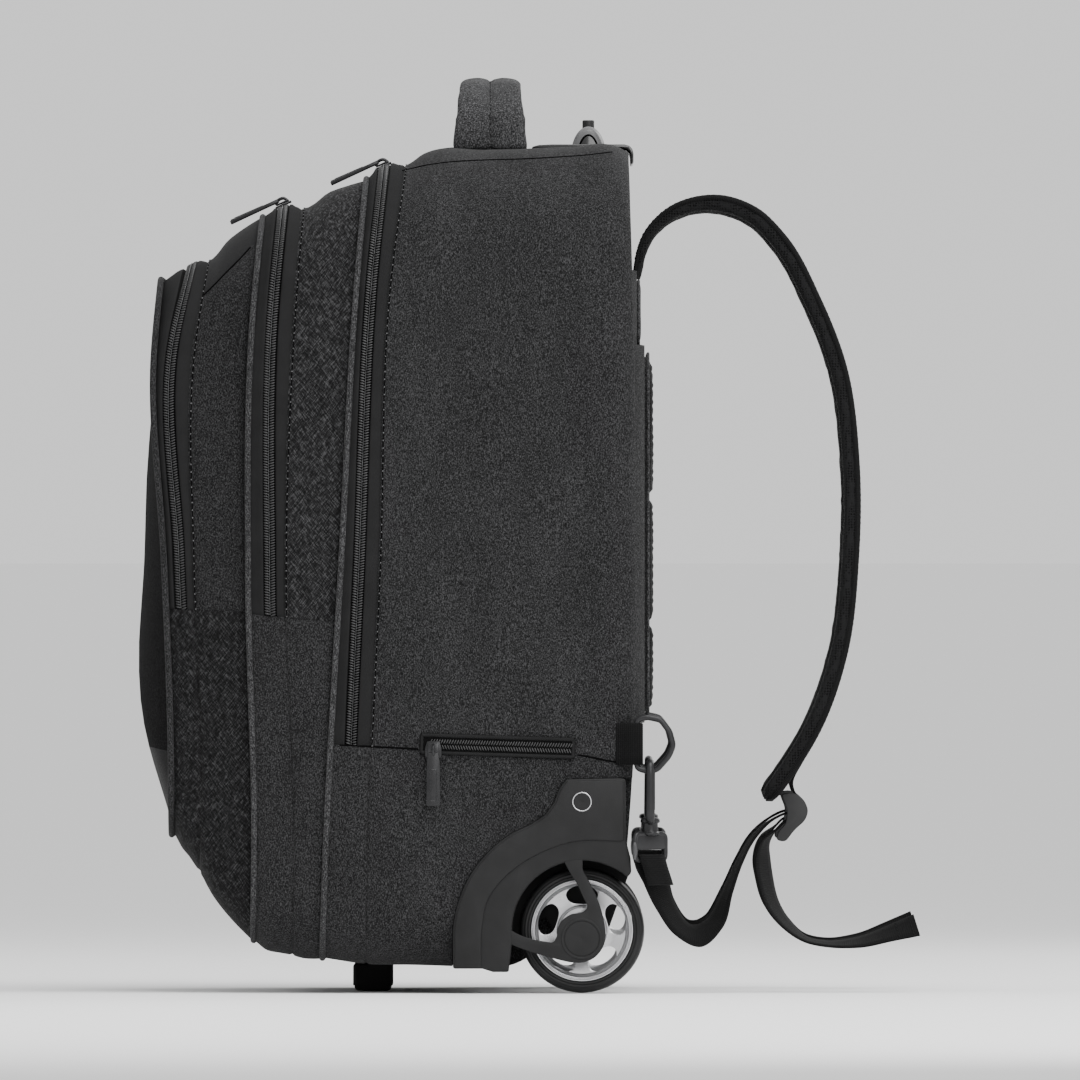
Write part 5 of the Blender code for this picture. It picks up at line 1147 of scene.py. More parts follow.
def buildCarryHandle():
    size = carryHandle
    points = [(x * size["reach"], size["y"], size["base"] + z * size["rise"]) for x, z in handleArch]
    line = smoothPath(points, 0.003)
    along = tangentsOf(line)
    rows = []
    for index, centre in enumerate(line):
        up = unit(np.cross(np.array((0.0, 1.0, 0.0)), along[index]))
        up = up if np.dot(up, centre - np.array((0, size["y"], size["base"] - 0.02))) > 0 else -up
        share = np.clip((centre[2] - size["base"]) / size["rise"], 0, 1)
        width = size["foot"] + (size["top"] - size["foot"]) * share
        rows.append([centre + np.array((0, y * width, 0)) + up * z * size["thick"] for y, z in handleLobes])
    data = loftMesh("handle", rows, maps=False)
    data = plumped(data, size["voxel"], size["pressure"], size["cap"],
                   lambda places: places[:, 2] < size["base"] + 0.003)

    def press(places, normals):
        channel = np.exp(-((places[:, 1] - size["y"]) / size["channelHalf"]) ** 2) * size["channelDepth"]
        creases = noiseAt(places * np.array((1, 0.5, 1)), 90.0, 4.0) * 0.0005
        return places + normals * (creases - channel)[:, None]
    data = reshaped(subdivided(data), press)
    piece = addPiece("carry_handle_pad", data, finishes["handle"], stands=("carry_handle",),
                     sharp=80)
    tree = surfaceOf(data)
    spots, outward = [], []
    for index in range(3, len(line) - 3):
        up = unit(np.cross(np.array((0.0, 1.0, 0.0)), along[index]))
        up = up if up[2] > 0 or line[index][0] * up[0] > 0 else -up
        hit = tree.ray_cast(Vector(line[index] + up * 0.02), Vector(-up))
        if hit[0] is not None:
            spots.append(np.array(hit[0]))
            outward.append(np.array(up))
    buildStitches("handle_stitches", np.array(spots), np.array(outward), finishes["darkThread"],
                  0.0032, 0.0020, 0.0007, 0.0006, 0.0001)
    strips = []
    for way in (-1, 1):  # sewn-down tabs under the handle's feet
        x, y = way * size["reach"], size["y"]
        strips.append(boxMesh("tab", (x - 0.006, y - size["tabHalf"], 0.5045),
                              (x + 0.006, y + size["tabHalf"], 0.5072)))
    addPiece("handle_tabs", rounded(joined("tabs", strips), 0.0006), finishes["strap"])


def surfaceOf(data):
    return BVHTree.FromPolygons([vertex.co.copy() for vertex in data.vertices],
                                [tuple(face.vertices) for face in data.polygons])


backPads = {
    "upper": {"half": 0.118, "low": 0.3888, "high": 0.4284, "front": 0.0585, "back": 0.0650, "corner": 0.010,
              "gusset": 0.140, "voxel": 0.0016, "cap": 0.0003, "groove": 0.0012, "seams": (), "rib": 0.0},
    "lower": {"half": 0.128, "low": 0.1663, "high": 0.3846, "front": 0.0585, "back": 0.0716, "corner": 0.024,
              "gusset": 0.150, "voxel": 0.0042, "cap": 0.0012, "groove": 0.0030, "seams": (0.222, 0.298),
              "rib": 0.00035},
}
padPressure = 4.0
gussetY = 0.0560


def buildBackPad(name, size):
    half, low, high, corner = size["half"], size["low"], size["high"], size["corner"]
    outline = roundProfile([(-half, low), (half, low), (half, high), (-half, high)], corner, 6)
    outline = evenPath([(x, 0.0, z) for x, z in outline], 0.006, closed=True)
    middle = np.array((0.0, 0.0, (low + high) / 2))
    front, back = size["front"], size["back"]
    thick = back - front
    rows = []
    for inset, y in ((0.006, front), (0.0, front + thick * 0.08), (0.0, front + thick * 0.55),
                     (0.0012, back - thick * 0.16), (0.004, back)):
        spread = (outline - middle) * np.array((1 - inset / half, 0, 1 - inset * 2 / (high - low))) + middle
        rows.append(spread + np.array((0, y, 0)))
    data = loftMesh(name, rows, maps=False)
    data = plumped(data, size["voxel"], padPressure, size["cap"])

    def press(places, normals):
        x, z = places[:, 0], places[:, 2]
        behind = np.clip(normals[:, 1], 0, 1)
        lines = np.exp(-(x / 0.0035) ** 2)
        for seam in size["seams"]:
            lines = np.maximum(lines, np.exp(-((z - seam) / 0.0030) ** 2))
        ribs = size["rib"] * np.sin(z * math.tau / 0.0052)
        waves = noiseAt(places, 40.0, 8.0) * 0.0005
        return places + normals * (behind * (ribs * (1 - lines) + waves - size["groove"] * lines))[:, None]
    data = reshaped(subdivided(data), press)
    sortFaces(data, lambda centres, normals: np.where(normals[:, 1] > 0.72, 0, 1))
    piece = addPiece("back_pad_" + name + "_cushion", data, [finishes["airMesh"], finishes["main"]],
                     stands=("back_pad_" + name,), sharp=80)
    edge = middle + (outline - middle) * np.array((1 - 0.0006 / half, 0, 1 - 0.0012 / (high - low)))
    welt = [point + np.array((0, back - thick * 0.14, 0)) for point in edge]
    addPiece("back_pad_" + name + "_welt", tubeMesh("welt", welt, 0.0009, 8, True, (0, 1, 0)),
             finishes["piping"])
    gussetRows = []
    for spread, y in ((1.0, gussetY), (0.996, 0.0600), (0.985, back - thick * 0.30)):
        reach = (size["gusset"] - half) * (1 - (y - gussetY) / (back - gussetY)) + 0.0008
        growth = np.array((1 + reach / half, 0, 1 + min(reach, 0.006) * 2 / (high - low)))
        grown = middle + (outline - middle) * growth
        gussetRows.append((grown - middle) * spread + middle + np.array((0, y, 0)))
    addPiece("back_gusset_" + name, loftMesh("gusset", gussetRows, maps=False), finishes["main"],
             sharp=80)


strap = {"rootY": 0.0634, "rootZ": 0.4308, "reach": 0.1293, "drop": 0.315, "rise": 0.0444, "rootX": 0.070,
         "endX": 0.100, "width": 0.062, "thick": 0.0108, "rootThick": 0.0052, "steps": 24}
strapRows = ((0, 0.880), (0.012, 0.905), (0.045, 0.940), (0.160, 0.982), (0.360, 0.999), (0.540, 0.978),
             (0.660, 0.936), (0.820, 0.832), (0.935, 0.724), (0.995, 0.564), (0.992, 0.404), (0.938, 0.244),
             (0.830, 0.130), (0.700, 0.050), (0.600, 0))


def strapLine():
    low = strap["rootZ"] - strap["drop"]
    span = strap["drop"] + strap["rise"]
    rows = [(0.0, strap["rootY"] + reach * strap["reach"], low + height * span)
            for reach, height in strapRows]
    line = smoothPath(rows, 0.0030)
    share = np.linspace(0, 1, len(line))
    line[:, 0] = strap["rootX"] + (strap["endX"] - strap["rootX"]) * share
    return line, share


def buildStrap():
    line, share = strapLine()
    along = tangentsOf(line)
    away = -unit(np.cross(along, np.array((1.0, 0.0, 0.0))))
    across = unit(np.cross(along, away))
    across = np.where(across[:, :1] < 0, -across, across)
    steps = share * strap["steps"]
    width = strap["width"] * (1 - 0.30 * np.maximum(0.0, (steps - 21) / 3))
    swell = np.minimum(steps / 4, 1.0)
    thick = strap["rootThick"] + (strap["thick"] - strap["rootThick"]) * swell
    rounding = np.sqrt(np.clip(1 - ((share - 0.985) / 0.0152) ** 2, 0.02, 1))
    ending = rounding * (share > 0.985) + (share <= 0.985)  # the pad's end is rounded off
    thick = thick * ending * 0.97
    width = width * (0.25 + 0.75 * ending)
    profile = []
    for place in np.linspace(-0.46, 0.46, 15):
        profile.append((place, 0.44 - 0.10 * (2 * place) ** 4, 0))
    for place, height in ((0.488, 0.25), (0.5, 0.05), (0.5, -0.15), (0.485, -0.34)):
        profile.append((place, height, 1))
    for place in np.linspace(0.455, -0.455, 15):
        profile.append((place, -0.50 + 0.06 * (2 * place) ** 4, 1))
    for place, height in ((-0.485, -0.34), (-0.5, -0.15), (-0.5, 0.05), (-0.488, 0.25)):
        profile.append((place, height, 1))
    rows = np.array([[line[i] + across[i] * w * width[i] + away[i] * t * thick[i] for w, t, kind in profile]
                     for i in range(len(line))])
    count, around = rows.shape[:2]
    centre = rows.mean(axis=1, keepdims=True)
    outward = unit(rows - centre)
    wrinkles = noiseAt((rows * np.array((0.5, 1.0, 1.0))).reshape(-1, 3), 150.0, 6.0).reshape(count, around)
    folds = noiseAt((rows * np.array((0.3, 1.0, 1.0))).reshape(-1, 3), 380.0, 7.0).reshape(count, around)
    inner = np.array([kind for w, t, kind in profile])[None, :]
    press = (wrinkles * 0.0008 + folds * 0.00035) * inner + wrinkles * 0.0002 * (1 - inner)
    rows = rows + outward * press[..., None]
    kinds = [profile[step][2] if profile[(step + 1) % around][2] else 0 for step in range(around)]
    for side, way in sides:
        placed = rows * np.array((way, 1, 1))
        data = loftMesh("strap", placed)
        index = kinds * (count - 1) + [1, 1]
        data.polygons.foreach_set("material_index", np.array(index, np.int32))
        piece = addPiece("shoulder_strap_pad_" + side, data, [finishes["strap"], finishes["airMesh"]],
                         stands=("shoulder_strap_" + side,), sharp=70)
        bindings = []
        for edge in (-1, 1):
            route = np.array([line[i] + across[i] * edge * width[i] * 0.487 + away[i] * thick[i] * 0.31
                              for i in range(count)]) * np.array((way, 1, 1))
            bindings.append(tubeMesh("binding", route, np.clip(thick * 0.17, 0.0006, 0.0018), 8))
        addPiece("strap_binding_" + side, joined("bindings", bindings), finishes["binding"],
                 sharp=80)
        keep = slice(4, count - 8)
        flip = np.array((way, 1, 1))
        for number, edge in enumerate((-1, 1)):
            route = (line[keep] + across[keep] * edge * (width[keep, None] * 0.5 - 0.0055)
                     + away[keep] * thick[keep, None] * 0.435) * flip
            buildStitches(f"strap_stitches_{side}_{number}", route, away[keep] * flip,
                          finishes["darkThread"], 0.0034, 0.0021)
    return line


# hardware on the back
wrapGap = 0.0003 + 0.00075  # clearance and half the webbing, where it goes round a wire
ring = {"x": 0.1669, "barY": 0.0631, "middle": 0.1494, "reach": 0.0216, "height": 0.029, "wire": 0.0018,
        "loopX": 0.1640}
ringOutline = ((0, 0.5), (0, -0.5), (0.28, -0.56), (0.55, -0.53), (0.88, -0.25), (1, -0.03), (0.90, 0.26),
               (0.66, 0.50), (0.28, 0.56))


def buildRings():
    points = [(ring["barY"] + reach * ring["reach"], ring["middle"] + rise * ring["height"])
              for reach, rise in ringOutline]
    bent = roundProfile(points, 0.0020, 3)
    wire = evenPath([(ring["x"], y, z) for y, z in bent], 0.0012, closed=True)
    wrap = ring["wire"] + wrapGap
    flat = ring["loopX"]
    route = [(flat, 0.0504), (flat + 0.0006, 0.0545), (ring["x"] - wrap + 0.0001, 0.0590)]
    for angle in range(180, -1, -15):
        turn = math.radians(angle)
        route.append((ring["x"] + wrap * math.cos(turn), ring["barY"] + wrap * math.sin(turn)))
    route += [(ring["x"] + wrap - 0.0003, 0.0592), (flat + 0.0033, 0.0545), (flat + 0.0023, 0.0504)]
    band = smoothPath([(x, y, ring["middle"]) for x, y in route], 0.0007)
    for side, way in sides:
        data = tubeMesh("ring", wire * np.array((way, 1, 1)), ring["wire"], 12, True)
        addPiece("d_ring_wire_" + side, data, finishes["gunmetal"], stands=("d_ring_" + side,),
                 sharp=60)
        rows = np.hstack([band * np.array((way, 1, 1)), np.tile((0, 0, 0.0125), (len(band), 1))])
        addPiece("d_ring_webbing_" + side, ribbonMesh("loop", rows, 0.0014), finishes["web"],
                 stands=("d_ring_loop_" + side,), sharp=60)
        spots = np.array([(way * (flat + 0.0031), 0.0525, ring["middle"] + step * 0.0029)
                          for step in range(-4, 5)])
        buildStitches("d_ring_tack_" + side, spots, np.tile((way, 0, 0), (9, 1)), finishes["darkThread"],
                      0.0029, 0.0019)


hook = {"x": 0.1669, "y": 0.0709, "arch": 0.1382, "collarLow": 0.0948, "collarTop": 0.1050, "half": 0.0078,
        "wire": 0.0029, "barZ": 0.0798, "bailHalf": 0.0122, "bailWire": 0.0016, "turn": math.radians(48)}


def buildHooks():
    size = hook
    low, high = size["collarTop"] - size["wire"] * 0.6, size["arch"]
    half = size["half"]
    link = roundProfile([(-half, low), (half, low), (half, high), (-half, high)], half * 0.85, 8)
    wire = evenPath([(size["x"] + x, size["y"], z) for x, z in link], 0.0011, closed=True)
    share = np.clip((wire[:, 2] - low) / (high - low), 0, 1)
    radius = size["wire"] * (1.0 - 0.16 * share)
    collar = turnedMesh("collar", roundProfile([
        (0, 0), (0, 0.0050), (0.0016, 0.0058), (0.0024, 0.0048), (0.0074, 0.0046), (0.0082, 0.0060),
        (0.0102, 0.0056), (0.0110, 0.0040), (0.0110, 0)], 0.0006)[1:-1],
        (size["x"], size["y"], size["collarLow"] - 0.0004), "Z", 40)
    across = np.array((math.cos(size["turn"]), -math.sin(size["turn"]), 0.0))
    top = size["collarLow"] + size["bailWire"] * 0.4
    wide, bar = size["bailHalf"], size["barZ"]
    loop = roundProfile([(-wide, bar), (wide, bar), (wide, top), (-wide, top)], 0.0034, 6)
    bail = evenPath([np.array((size["x"], size["y"], z)) + across * x for x, z in loop], 0.0010, closed=True)
    shoulder = boxMesh("shoulder", (-wide, -0.0011, bar + 0.0062), (wide, 0.0011, top + 0.0008))
    shoulder.transform(Matrix.Translation((size["x"], size["y"], 0)) @ Matrix.Rotation(-size["turn"], 4, "Z"))
    shoulder = rounded(shoulder, 0.0009, 3)
    gate = np.array([(size["x"] + half + 0.0002, size["y"] + 0.0014, z)
                     for z in np.linspace(0.110, 0.1335, 12)])
    # the groove beside the gate is a darker tube: painted shade of the groove
    groove = np.array([(size["x"] + half + size["wire"] * 0.62, size["y"] - 0.0001, z)
                       for z in np.linspace(0.1085, 0.1330, 12)])
    arm = np.array([np.array((size["x"], size["y"], z)) + across * (wide + 0.0003)
                    for z in np.linspace(0.0800, 0.0905, 14)])
    thickness = 0.0030 * np.sin(np.linspace(0.35, math.pi - 0.35, 14)) ** 0.5
    for side, way in sides:
        flip = np.array((way, 1, 1))
        parts = [tubeMesh("link", wire * flip, radius, 14, True),
                 tubeMesh("bail", bail * flip, size["bailWire"], 10, True),
                 tubeMesh("gate", gate * flip, 0.0016, 10)]
        for made in (collar, shoulder):
            parts.append(made if way > 0 else mirrored(made))
        addPiece("snap_hook_body_" + side, joined("hook", parts), finishes["gunmetal"],
                 stands=("snap_hook_" + side,), sharp=50)
        addPiece("snap_hook_cap_" + side, tubeMesh("cap", arm * flip, thickness, 12, flat=0.55),
                 finishes["cap"], sharp=50)
        addPiece("snap_hook_seam_" + side, tubeMesh("seam", groove * flip, 0.0006, 8), finishes["grooveShade"])


lock = {"x": 0.100, "top": (0.158, 0.1162), "middle": (0.1556, 0.1054), "lip": (0.1517, 0.0934),
        "height": 0.030, "bar": 0.0015, "inner": 0.0106, "cheek": 0.0022}
lockShape = ((-0.30, 0.52), (0.08, 0.58), (0.42, 0.36), (0.56, 0.0), (0.46, -0.30), (0.10, -0.62),
             (-0.16, -0.98), (-0.46, -0.92), (-0.40, -0.66), (-0.16, -0.42), (-0.10, 0.0), (-0.22, 0.30))
lockBack = ((0.02, 0.50), (0.36, 0.32), (0.50, 0.0), (0.40, -0.28), (0.14, -0.52), (0.06, -0.44),
            (0.30, -0.22), (0.38, 0.0), (0.28, 0.22), (0.02, 0.38))


def buildLocks():
    size = lock
    centre = (size["middle"][0], size["middle"][1] + 0.12 * size["height"])
    scale = size["height"] / 1.56  # the shape's own height
    outline, back = [[(centre[0] + y * scale, centre[1] + z * scale) for y, z in shape]
                     for shape in (lockShape, lockBack)]
    outline = roundProfile(outline, 0.0035, 5)
    back = roundProfile(back, 0.0012, 3)
    for side, way in sides:
        middle = way * size["x"]
        parts = []
        for edge in (-1, 1):
            near = middle + edge * size["inner"]
            far = middle + edge * (size["inner"] + size["cheek"])
            parts.append(rounded(plateMesh("cheek", outline, min(near, far), max(near, far)), 0.0007))
        reach = size["inner"] + size["cheek"] * 0.6
        parts.append(rounded(plateMesh("bridge", back, middle - reach, middle + reach), 0.0005))
        for place in ("top", "middle", "lip"):
            y, z = size[place]
            rod = np.array([(middle + step * reach, y, z) for step in np.linspace(-1, 1, 9)])
            parts.append(tubeMesh("bar", rod, size["bar"], 12, guide=(0, 1, 0)))
        addPiece("ladder_lock_body_" + side, joined("lock", parts), finishes["buckle"],
                 stands=("ladder_lock_" + side,), sharp=50)


# rows of the webbing: reach and drop as shares, then its twist in degrees
slackRows = ((0.040, 0.260, 48), (0.110, 0.600, 35), (0.230, 0.920, 30), (0.350, 1.0, 42), (0.460, 0.840, 30),
             (0.560, 0.400, 14), (0.640, 0.020, 8), (0.760, -0.340, 5), (0.890, -0.540, 0))
tailRows = ((-0.110, 0.095, 0), (-0.190, 0.180, 12), (-0.222, 0.350, 27), (-0.198, 0.510, 27),
            (-0.145, 0.690, 24), (-0.030, 0.845, 16), (0.120, 0.962, 8), (0.310, 1.0, 8),
            (0.540, 0.985, 16), (0.770, 0.920, 26), (1.0, 0.850, 40))
webbing = {"half": 0.010, "thick": 0.0014, "drop": 0.0456, "tailReach": 0.0760, "tailDrop": 0.0768}


def wrapRows(centre, radius, across, angles):
    # rows of a band that goes round a bar
    level = unit(np.cross(unit(np.array(across, float)), np.array((0.0, 0.0, 1.0))))
    level = level if level[1] >= 0 else -level
    rows = []
    for angle in angles:
        turn = math.radians(angle)
        point = np.array(centre) + level * radius * math.cos(turn)
        point = point + np.array((0, 0, 1)) * radius * math.sin(turn)
        rows.append((*point, *across))
    return rows


def freeRows(rows, start, reach, drop, firstX, lastX):
    # rows of a band that hangs free
    places = []
    for index, row in enumerate(rows):
        share = min(1.0, (index + 1) / (len(rows) - 1))
        places.append(np.array((firstX + (lastX - firstX) * share, start[1] + row[0] * reach,
                                start[2] - row[1] * drop)))
    result = []
    for index, row in enumerate(rows):
        heading = unit(places[min(index + 1, len(rows) - 1)] - places[max(index - 1, 0)])
        level = unit(np.cross(heading, np.array((1.0, 0.0, 0.0))))
        turn = math.radians(row[2])
        across = (np.array((1.0, 0, 0)) * math.cos(turn) + level * math.sin(turn)) * webbing["half"]
        result.append((*places[index], *across))
    return result


def buildWebbing(line):
    size = webbing
    bail = np.array((hook["x"], hook["y"], hook["barZ"]))
    half = size["half"]
    across = np.array((math.cos(hook["turn"]), -math.sin(hook["turn"]), 0.0)) * half
    wrap = hook["bailWire"] + wrapGap
    tip = bail + np.array((0.0, 0.0063, -0.0150))
    control = [(*(tip + (bail - tip) * share), *across) for share in (0.0, 0.35)]
    control[1] = (control[1][0], control[1][1] + 0.0006, *control[1][2:])
    control += wrapRows(bail, wrap, across, (0, 45, 90, 135, 180))
    buckle = np.array((strap["endX"], *lock["middle"]))
    control += freeRows(slackRows, bail, buckle[1] - bail[1], size["drop"], hook["x"], strap["endX"])
    lockWrap = lock["bar"] + wrapGap
    control += wrapRows(buckle, lockWrap, (half, 0, 0), (115, 75, 35, -5, -45, -85, -120))
    control += freeRows(tailRows, buckle, size["tailReach"], size["tailDrop"], strap["endX"], strap["endX"])
    rows = smoothPath(control, 0.0011)
    rows[:, 3:6] = unit(rows[:, 3:6]) * half
    drift = noiseAt(rows[:, :3], 60.0, 2.0)[:, None]
    normal = unit(np.cross(tangentsOf(rows[:, :3]), rows[:, 3:6]))
    rows[:, :3] += normal * drift * 0.0003
    top = lock["top"]
    tabWrap = wrapRows((strap["endX"], *top), lockWrap, (half, 0, 0), (75, 30, -15, -60, -105, -140))
    away = np.array((0.0, 0.8319, -0.5513))
    root = np.array((strap["endX"], line[-12][1], line[-12][2])) + away * (strap["thick"] / 2 - 0.0012)
    leaving = np.array((strap["endX"], line[-6][1], line[-6][2])) + away * (strap["thick"] / 2 + 0.0028)
    tabRows = smoothPath([(*root, half, 0, 0), (*leaving, half, 0, 0), *tabWrap], 0.0010)
    for side, way in sides:
        flip = np.array((way, 1, 1))
        turned = np.hstack([rows[:, :3] * flip, rows[:, 3:6] * np.array((1, way, way))])
        addPiece("lower_strap_" + side, ribbonMesh("webbing", turned, size["thick"]), finishes["web"],
                 stands=("lower_webbing_" + side,), sharp=70)
        data = ribbonMesh("tab", np.hstack([tabRows[:, :3] * flip, tabRows[:, 3:6]]), size["thick"])
        addPiece("strap_tab_loop_" + side, data, finishes["web"], stands=("strap_tab_" + side,),
                 sharp=70)
        ends = turned[-12:]
        lift = unit(np.cross(tangentsOf(ends[:, :3]), ends[:, 3:6]))
        spots, ups = [], []
        for step, at in [(step, at) for step in (0, 8) for at in (0.8, 0.4, 0, -0.4, -0.8)]:
            for face in (-1, 1):
                spots.append(ends[step, :3] + ends[step, 3:6] * at + lift[step] * face * size["thick"] * 0.55)
                ups.append(lift[step] * face)
        repeatRow("tail_tack_" + side, spots, ups, np.tile(unit(ends[0, 3:6]), (len(spots), 1)),
                  finishes["darkThread"], 0.0007, 0.0028, 0.0006)


# wheels and housings
# the raised band's inner edge and the two-armed guard, in the photograph's pixels
relief = ((481, 968.5), (482.5, 924), (487, 902), (496, 887), (513, 870), (542.6, 852), (572, 842),
          (622, 841))
yokeOutline = ((562, 857), (569, 871), (577, 884), (583, 897), (587, 908), (583, 912), (571, 914.3),
               (561.6, 921), (557, 930), (556.5, 937), (553, 942), (545, 941.5), (530, 938.5),
               (516, 933), (507, 927), (499, 919), (498, 943), (507, 943), (516, 946.5), (530, 951.5),
               (545, 956), (560, 960), (573, 962.5), (584.5, 962), (594, 958), (601, 950.5),
               (605.6, 939), (604.6, 925.7), (602, 912), (597, 898), (588.4, 880), (583, 870),
               (582, 857))


def archOutline(radius):
    # from the front of the arch up and over to its back
    return [(wheel["axleY"] + radius * math.cos(math.radians(angle)),
             wheel["radius"] + radius * math.sin(math.radians(angle)))
            for angle in np.linspace(archAngles[1], archAngles[0], 28)]


def buildHousings():
    outline = housingOutline()
    whole = outline + archOutline(archRadius)
    pocket = plateMesh("pocket", grownOutline(whole, -0.0020), 0.1200, 0.1672)
    body = carved(rounded(plateMesh("body", whole, 0.1222, 0.1696), 0.0016, 3, 25), pocket)
    band = grownOutline(outline, -0.0012)[2:len(outline) - len(housingFoot) + 1]
    smooth = smoothPath([(photoY(px), photoZ(py), 0) for px, py in relief], 0.0015)
    bandOutline = band + [(max(y, -0.0310), z) for y, z, _ in smooth if z > 0.0146]
    raised = rounded(plateMesh("band", bandOutline, 0.1600, 0.1706), 0.0009, 3, 25)
    wall = archOutline(archRadius + 0.0010)
    for angle in (30, -20, -60, -90, -120, -160, -200):
        turn = math.radians(angle)
        reach = 0.0150 if -160 <= angle <= 0 else archRadius * 0.55
        wall.append((wheel["axleY"] + reach * math.cos(turn), wheel["radius"] + reach * math.sin(turn)))
    inner = plateMesh("wall", wall, 0.1219, 0.1255)
    corners = [(photoY(px), photoZ(py), 0) for px, py in (*yokeOutline, yokeOutline[0])]
    shape = smoothPath(corners, 0.0016)[:-1, :2]
    yoke = rounded(plateMesh("yoke", [tuple(point) for point in shape], 0.1627, 0.1693), 0.0012, 3, 30)
    capSpot = (0.1676, 0.0298, 0.0325)
    cap = turnedMesh("cap", roundProfile([(0, 0.0001), (0, 0.0104), (0.0018, 0.0104), (0.0020, 0.0098),
                                          (0.0020, 0.0001)], 0.0003), capSpot, "X", 64)
    collar = turnedMesh("collar", roundProfile([(0, 0.0108), (0, 0.0128), (0.0022, 0.0124),
                                                (0.0022, 0.0108)], 0.0005), capSpot, "X", 64)
    pin = turnedMesh("pin", [(0, 0.0001), (0, 0.0034), (0.042, 0.0034), (0.042, 0.0001)],
                     (0.1238, wheel["axleY"], wheel["radius"]), "X", 32)
    shells = joined("housing", [body, raised, inner, yoke, cap, collar, pin])
    spot = (0.1697, wheel["axleY"], 0.1148)
    rivetRing = turnedMesh("rivetRing", roundProfile([(0, 0.0051), (0, 0.0059), (0.0016, 0.0058),
                                                      (0.0016, 0.0052)], 0.0002), spot, "X", 72)
    rivetDisc = turnedMesh("rivetDisc", roundProfile([(0, 0.0001), (0, 0.0053), (0.0011, 0.0053),
                                                      (0.0013, 0.0046), (0.0013, 0.0001)], 0.0003),
                           spot, "X", 72)
    for side, way in sides:
        data = shells.copy() if way > 0 else mirrored(shells)
        addPiece("housing_shell_" + side, data, finishes["housing"], stands=("wheel_housing_" + side,),
                 sharp=40)
        for label, made, finish in (("ring", rivetRing, "chrome"), ("disc", rivetDisc, "housing")):
            shape = made.copy() if way > 0 else mirrored(made)
            addPiece(f"rivet_{label}_{side}", shape, finishes[finish],
                     stands=("rivet_" + side,) if label == "ring" else (), sharp=40)


rimWindow = {"middle": 0.0214, "reach": 0.0056, "swing": 0.44, "squareness": 0.85, "steps": 28}


def squared(value):
    return math.copysign(abs(value) ** rimWindow["squareness"], value)


def buildWheels():
    axle = (wheel["plane"], wheel["axleY"], wheel["radius"])
    profile = [(-0.0135, 0.0040), (0.0126, 0.0040), (0.0126, 0.0086), (0.0112, 0.0098), (0.0086, 0.0106),
               (0.0080, 0.0136), (0.0086, 0.0142), (0.0079, 0.0149), (0.0067, 0.0153), (0.0068, 0.0190),
               (0.0074, 0.0262), (0.0086, 0.0276), (0.0104, 0.0281), (0.0107, 0.0287), (0.0099, 0.0291),
               (0.0099, 0.0294), (0.0109, 0.0299), (0.0107, 0.0306), (-0.0107, 0.0306), (-0.0107, 0.0294),
               (0.0030, 0.0284), (0.0040, 0.0272), (0.0039, 0.0110), (0.0030, 0.0095), (-0.0135, 0.0090)]
    rim = turnedMesh("rim", roundProfile(profile, 0.0004, 2), axle, "X", 120)
    for number in range(wheel["spokes"]):
        angle = math.radians(90 + 360 / wheel["spokes"] * number)
        hole = []
        for step in range(rimWindow["steps"]):
            turn = math.tau * step / rimWindow["steps"]
            radial = rimWindow["middle"] + rimWindow["reach"] * squared(math.cos(turn))
            swing = angle + rimWindow["swing"] * squared(math.sin(turn))
            hole.append((axle[1] + radial * math.cos(swing), axle[2] + radial * math.sin(swing)))
        rim = carved(rim, plateMesh("window", hole, axle[0] - 0.002, axle[0] + 0.02))
    rim = rounded(rim, 0.0006, 2, 50)
    tread = [(-0.0106, 0.0309), (0.0106, 0.0309), (0.0110, 0.0322), (0.0104, 0.0326), (0.0109, 0.0331),
             (0.0109, 0.0342), (0.0103, 0.0345), (0.0100, 0.0357), (0.0086, 0.0368), (0.0062, 0.0373),
             (0.0046, 0.0375), (0.0042, 0.0368), (0.0036, 0.0375), (0.0000, 0.0375), (-0.0036, 0.0375),
             (-0.0042, 0.0368), (-0.0046, 0.0375), (-0.0062, 0.0373), (-0.0086, 0.0368), (-0.0100, 0.0357),
             (-0.0109, 0.0342), (-0.0110, 0.0322)]
    tyre = turnedMesh("tyre", roundProfile(tread, 0.0005, 2), axle, "X", 120)
    for side, way in sides:
        body = "wheel_" + side
        addPiece("rim_disc_" + side, rim.copy() if way > 0 else mirrored(rim), finishes["rim"], body,
                 ("rim_" + side,), 40)
        addPiece("tyre_ring_" + side, tyre.copy() if way > 0 else mirrored(tyre), finishes["tyre"], body,
                 ("tyre_" + side,), 40)


# pull handle
trolley = {"x": 0.060, "y": 0.034, "halfLength": 0.095, "wellHalf": 0.084, "wellY": 0.0143, "floor": 0.4848}
grip = {"low": 0.4912, "high": 0.5208, "half": 0.0108, "reach": 0.0765}


def tubeSleeve(x, low, high, outer, wall):
    profile = [(0, outer - wall), (0, outer), (high - low, outer), (high - low, outer - wall)]
    return turnedMesh("sleeve", roundProfile(profile, 0.0004, 2), (x, trolley["y"], low), "Z", 40)


